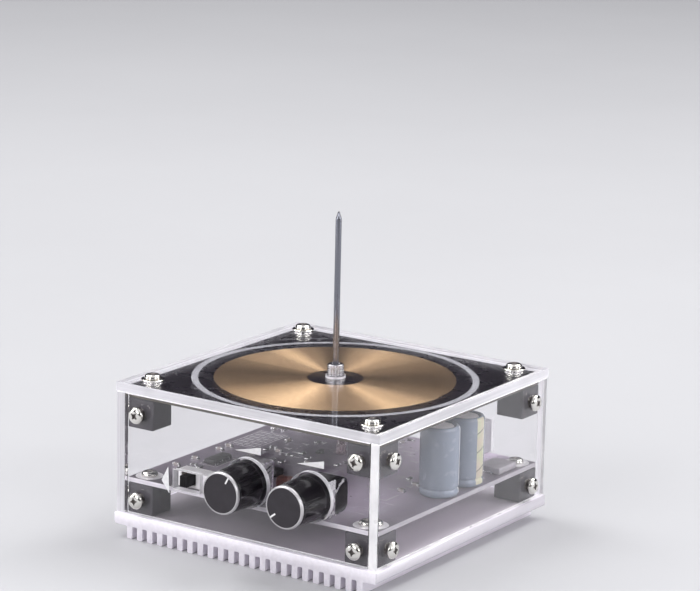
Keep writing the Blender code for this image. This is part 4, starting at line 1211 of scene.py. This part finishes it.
def chip(x, y, along_x, kind):
    """A small surface-mount part with its two soldered ends."""
    l, w, h = ((2.0, 1.25, 0.55) if kind == "r" else (2.0, 1.25, 0.9))
    hx, hy = (l / 2, w / 2) if along_x else (w / 2, l / 2)
    if not free(x - hx - 0.8, y - hy - 0.8, x + hx + 0.8, y + hy + 0.8):
        return
    busy.append((x - hx - 0.6, y - hy - 0.6, x + hx + 0.6, y + hy + 0.6))
    tgt = parts_r if kind == "r" else parts_c
    add_box(tgt, (x - hx * 0.82, y - hy * 0.98, Z_BT + 0.05), (x + hx * 0.82, y + hy * 0.98, Z_BT + h), 0.05, 1)
    for s in (-1, 1):
        if along_x:
            add_box(pads, (x + s * hx - 0.32, y - hy, Z_BT + 0.03), (x + s * hx + 0.2, y + hy, Z_BT + h + 0.03), 0.12, 2)
            add_box(pads, (x + s * hx - 0.2, y - hy - 0.1, Z_BT), (x + s * hx + 0.55, y + hy + 0.1, Z_BT + 0.12), 0.05, 1)
        else:
            add_box(pads, (x - hx, y + s * hy - 0.32, Z_BT + 0.03), (x + hx, y + s * hy + 0.2, Z_BT + h + 0.03), 0.12, 2)
            add_box(pads, (x - hx - 0.1, y + s * hy - 0.2, Z_BT), (x + hx + 0.1, y + s * hy + 0.55, Z_BT + 0.12), 0.05, 1)


def sot(x, y, turn):
    if not free(x - 2, y - 2, x + 2, y + 2):
        return
    busy.append((x - 2, y - 2, x + 2, y + 2))
    m = Matrix.Translation((x, y, Z_BT)) @ Matrix.Rotation(math.radians(turn), 4, 'Z')
    add_box(parts_b, (-1.45, -0.65, 0.1), (1.45, 0.65, 1.1), 0.12, 2, matrix=m)
    for px, py in ((-0.95, -1), (0.95, -1), (0, 1)):
        add_box(pads, (px - 0.22, min(py * 0.6, py * 1.25), 0.03), (px + 0.22, max(py * 0.6, py * 1.25), 0.25), 0.04, 1, matrix=m)


for (x, y) in ((-41.5, -17.9), (-37.7, -24.0), (-42.0, -27.5), (-29.3, 4.9), (-24.8, 5.5), (-19.2, 3.9), (-41.4, 26.3),
               (-38.0, 27.4), (-20.6, 22.2), (-13.6, 26.2), (-2.5, 34.9), (11.0, 35.0), (22.8, 19.4)):
    chip(x, y, r2.random() < 0.5, r2.choice("rc"))
for gx in range(-10, 11):
    for gy in range(-10, 11):
        x, y = gx * 4.2 + r2.uniform(-0.7, 0.7), gy * 4.2 + r2.uniform(-0.7, 0.7)
        q = r2.random()
        if q < (0.085 if x < 5 else 0.03):
            chip(x, y, r2.random() < 0.5, "r")
        elif q < (0.16 if x < 5 else 0.07):
            chip(x, y, r2.random() < 0.5, "c")
        elif x < 5 and q < 0.19:
            sot(x, y, r2.choice((0, 90, 180, 270)))
        elif q < 0.25 and free(x - 1, y - 1, x + 1, y + 1):
            line(x - 1.3, y, x + 1.3, y, 0.3)
# plated mounting rings on both boards
for sx in (-1, 1):
    for sy in (-1, 1):
        for z, t in ((Z_BT, 0.03), (Z_BOARD - 0.03, 0.03), (Z_CBT, 0.03), (Z_CB - 0.03, 0.03)):
            ring(rings, sx * 41.9, sy * 41.9, z, 1.75, 4.5 if z > Z_BOARD and z < 30 else 3.1, t, 48)
# soldered lead ends under the main board
lead_spots = [(40.3, -5.3), (40.3, -0.3), (40.3, 9.5), (40.3, 14.5), (3.6, -33.7), (7.2, -33.7), (-8.57, 16.2), (-6.03, 16.2),
              (24.4, 38.0), (21.4, 42.0), (24.4, 43.5)]
lead_spots += [(x + i * 2.5, -46.2 + d) for x, d in ((0.9, 6.0), (24.8, 12.4)) for i in (-1, 0, 1)]
lead_spots += [(SW_X + i * 4.0, -41.4) for i in (-1, 0, 1)]
for x, y in lead_spots:
    add_turned(pads, [(0, Z_BOARD - 1.5), (0.3, Z_BOARD - 1.5), (0.36, Z_BOARD - 0.9), (0.7, Z_BOARD - 0.3), (1.05, Z_BOARD - 0.02),
                      (0, Z_BOARD - 0.02)], 20, matrix=Matrix.Translation((x, y, 0)))
# vias
for _ in range(70):
    x, y = r2.uniform(-45, 45), r2.uniform(-45, 45)
    if free(x - 0.6, y - 0.6, x + 0.6, y + 0.6):
        ring(pads, x, y, Z_BT, 0.16, 0.34, 0.025, 12)
fix(bm)
piece("board_print", bm, "print_main", smooth=None)
for name, b, m in (("board_solder", pads, "pad"), ("board_rings", rings, "tin"), ("board_resistors", parts_r, "chip"),
                   ("board_ceramics", parts_c, "ceramic"), ("board_transistors", parts_b, "ic")):
    fix(b)
    bmesh.ops.remove_doubles(b, verts=b.verts, dist=0.0005)
    piece(name, b, m, smooth=30)

# ---------------------------------------------------------------- the studio
bm = bmesh.new()
bmesh.ops.create_grid(bm, x_segments=2, y_segments=2, size=4000)
floor = place("studio_floor", mesh_from(bm, "studio_floor", ["floor"], None))

world = bpy.data.worlds.new("studio")
sc.world = world
world.use_nodes = True
wt = world.node_tree
bg = wt.nodes["Background"]
tc = wt.nodes.new("ShaderNodeTexCoord")
sep = wt.nodes.new("ShaderNodeSeparateXYZ")
ramp = wt.nodes.new("ShaderNodeValToRGB")
wt.links.new(tc.outputs["Generated"], sep.inputs[0])
wt.links.new(sep.outputs["Z"], ramp.inputs[0])
ramp.color_ramp.elements[0].position = 0.0
ramp.color_ramp.elements[0].color = (0.020, 0.019, 0.026, 1)
ramp.color_ramp.elements[1].position = 0.40
ramp.color_ramp.elements[1].color = (0.030, 0.028, 0.038, 1)
top = ramp.color_ramp.elements.new(0.9)
top.color = (1.1, 1.1, 1.14, 1)
wt.links.new(ramp.outputs[0], bg.inputs["Color"])
bg.inputs["Strength"].default_value = 0.8


def softbox(name, direction, distance, size, power, colour=(1, 1, 1), target=(0, 0, 0.03)):
    light = bpy.data.lights.new(name, 'AREA')
    light.shape = 'RECTANGLE'
    light.size, light.size_y = size
    light.energy = power
    light.color = colour
    o = bpy.data.objects.new(name, light)
    sc.collection.objects.link(o)
    d = Vector(direction).normalized()
    o.location = Vector(target) + d * distance
    o.rotation_euler = (-d).to_track_quat('-Z', 'Y').to_euler()
    return o


# directions are set about the line of sight: towards the camera, and to its right
to_cam = Vector((0.5545, -0.8322, 0))
to_right = Vector((0.8322, 0.5545, 0))


def aimed(toward, right_part, height):
    return to_cam * toward + to_right * right_part + Vector((0, 0, height))


softbox("soft_left", aimed(-0.35, -0.52, 0.85), 1.6, (0.6, 1.1), 13)
softbox("soft_right", aimed(-0.35, 0.52, 0.85), 1.6, (0.6, 1.1), 13)
softbox("strip_left", aimed(0.1, -1.0, 0.25), 1.1, (0.3, 0.8), 4)
softbox("strip_right", aimed(0.1, 1.0, 0.25), 1.1, (0.3, 0.8), 5)
softbox("front_left", aimed(0.72, -0.66, 0.42), 1.7, (0.75, 0.75), 11)
softbox("front_right", aimed(0.72, 0.66, 0.42), 1.7, (0.75, 0.75), 6.5)

cam_data = bpy.data.cameras.new("photo_camera")
cam = bpy.data.objects.new("photo_camera", cam_data)
sc.collection.objects.link(cam)
right = Vector((0.82922912, 0.55850785, 0.02116692))
up = Vector((-0.1465902, 0.18078754, 0.97253647))
fwd = Vector((-0.53934254, 0.80955842, -0.23178607))
rot = Matrix((right, up, -fwd)).transposed().to_4x4()
cam.matrix_world = Matrix.Translation((0.512026, -0.761137, 0.296127)) @ rot
cam_data.sensor_width = 36.0
cam_data.sensor_fit = 'HORIZONTAL'
cam_data.lens = 151.41
cam_data.clip_start = 0.05
cam_data.clip_end = 50
sc.camera = cam
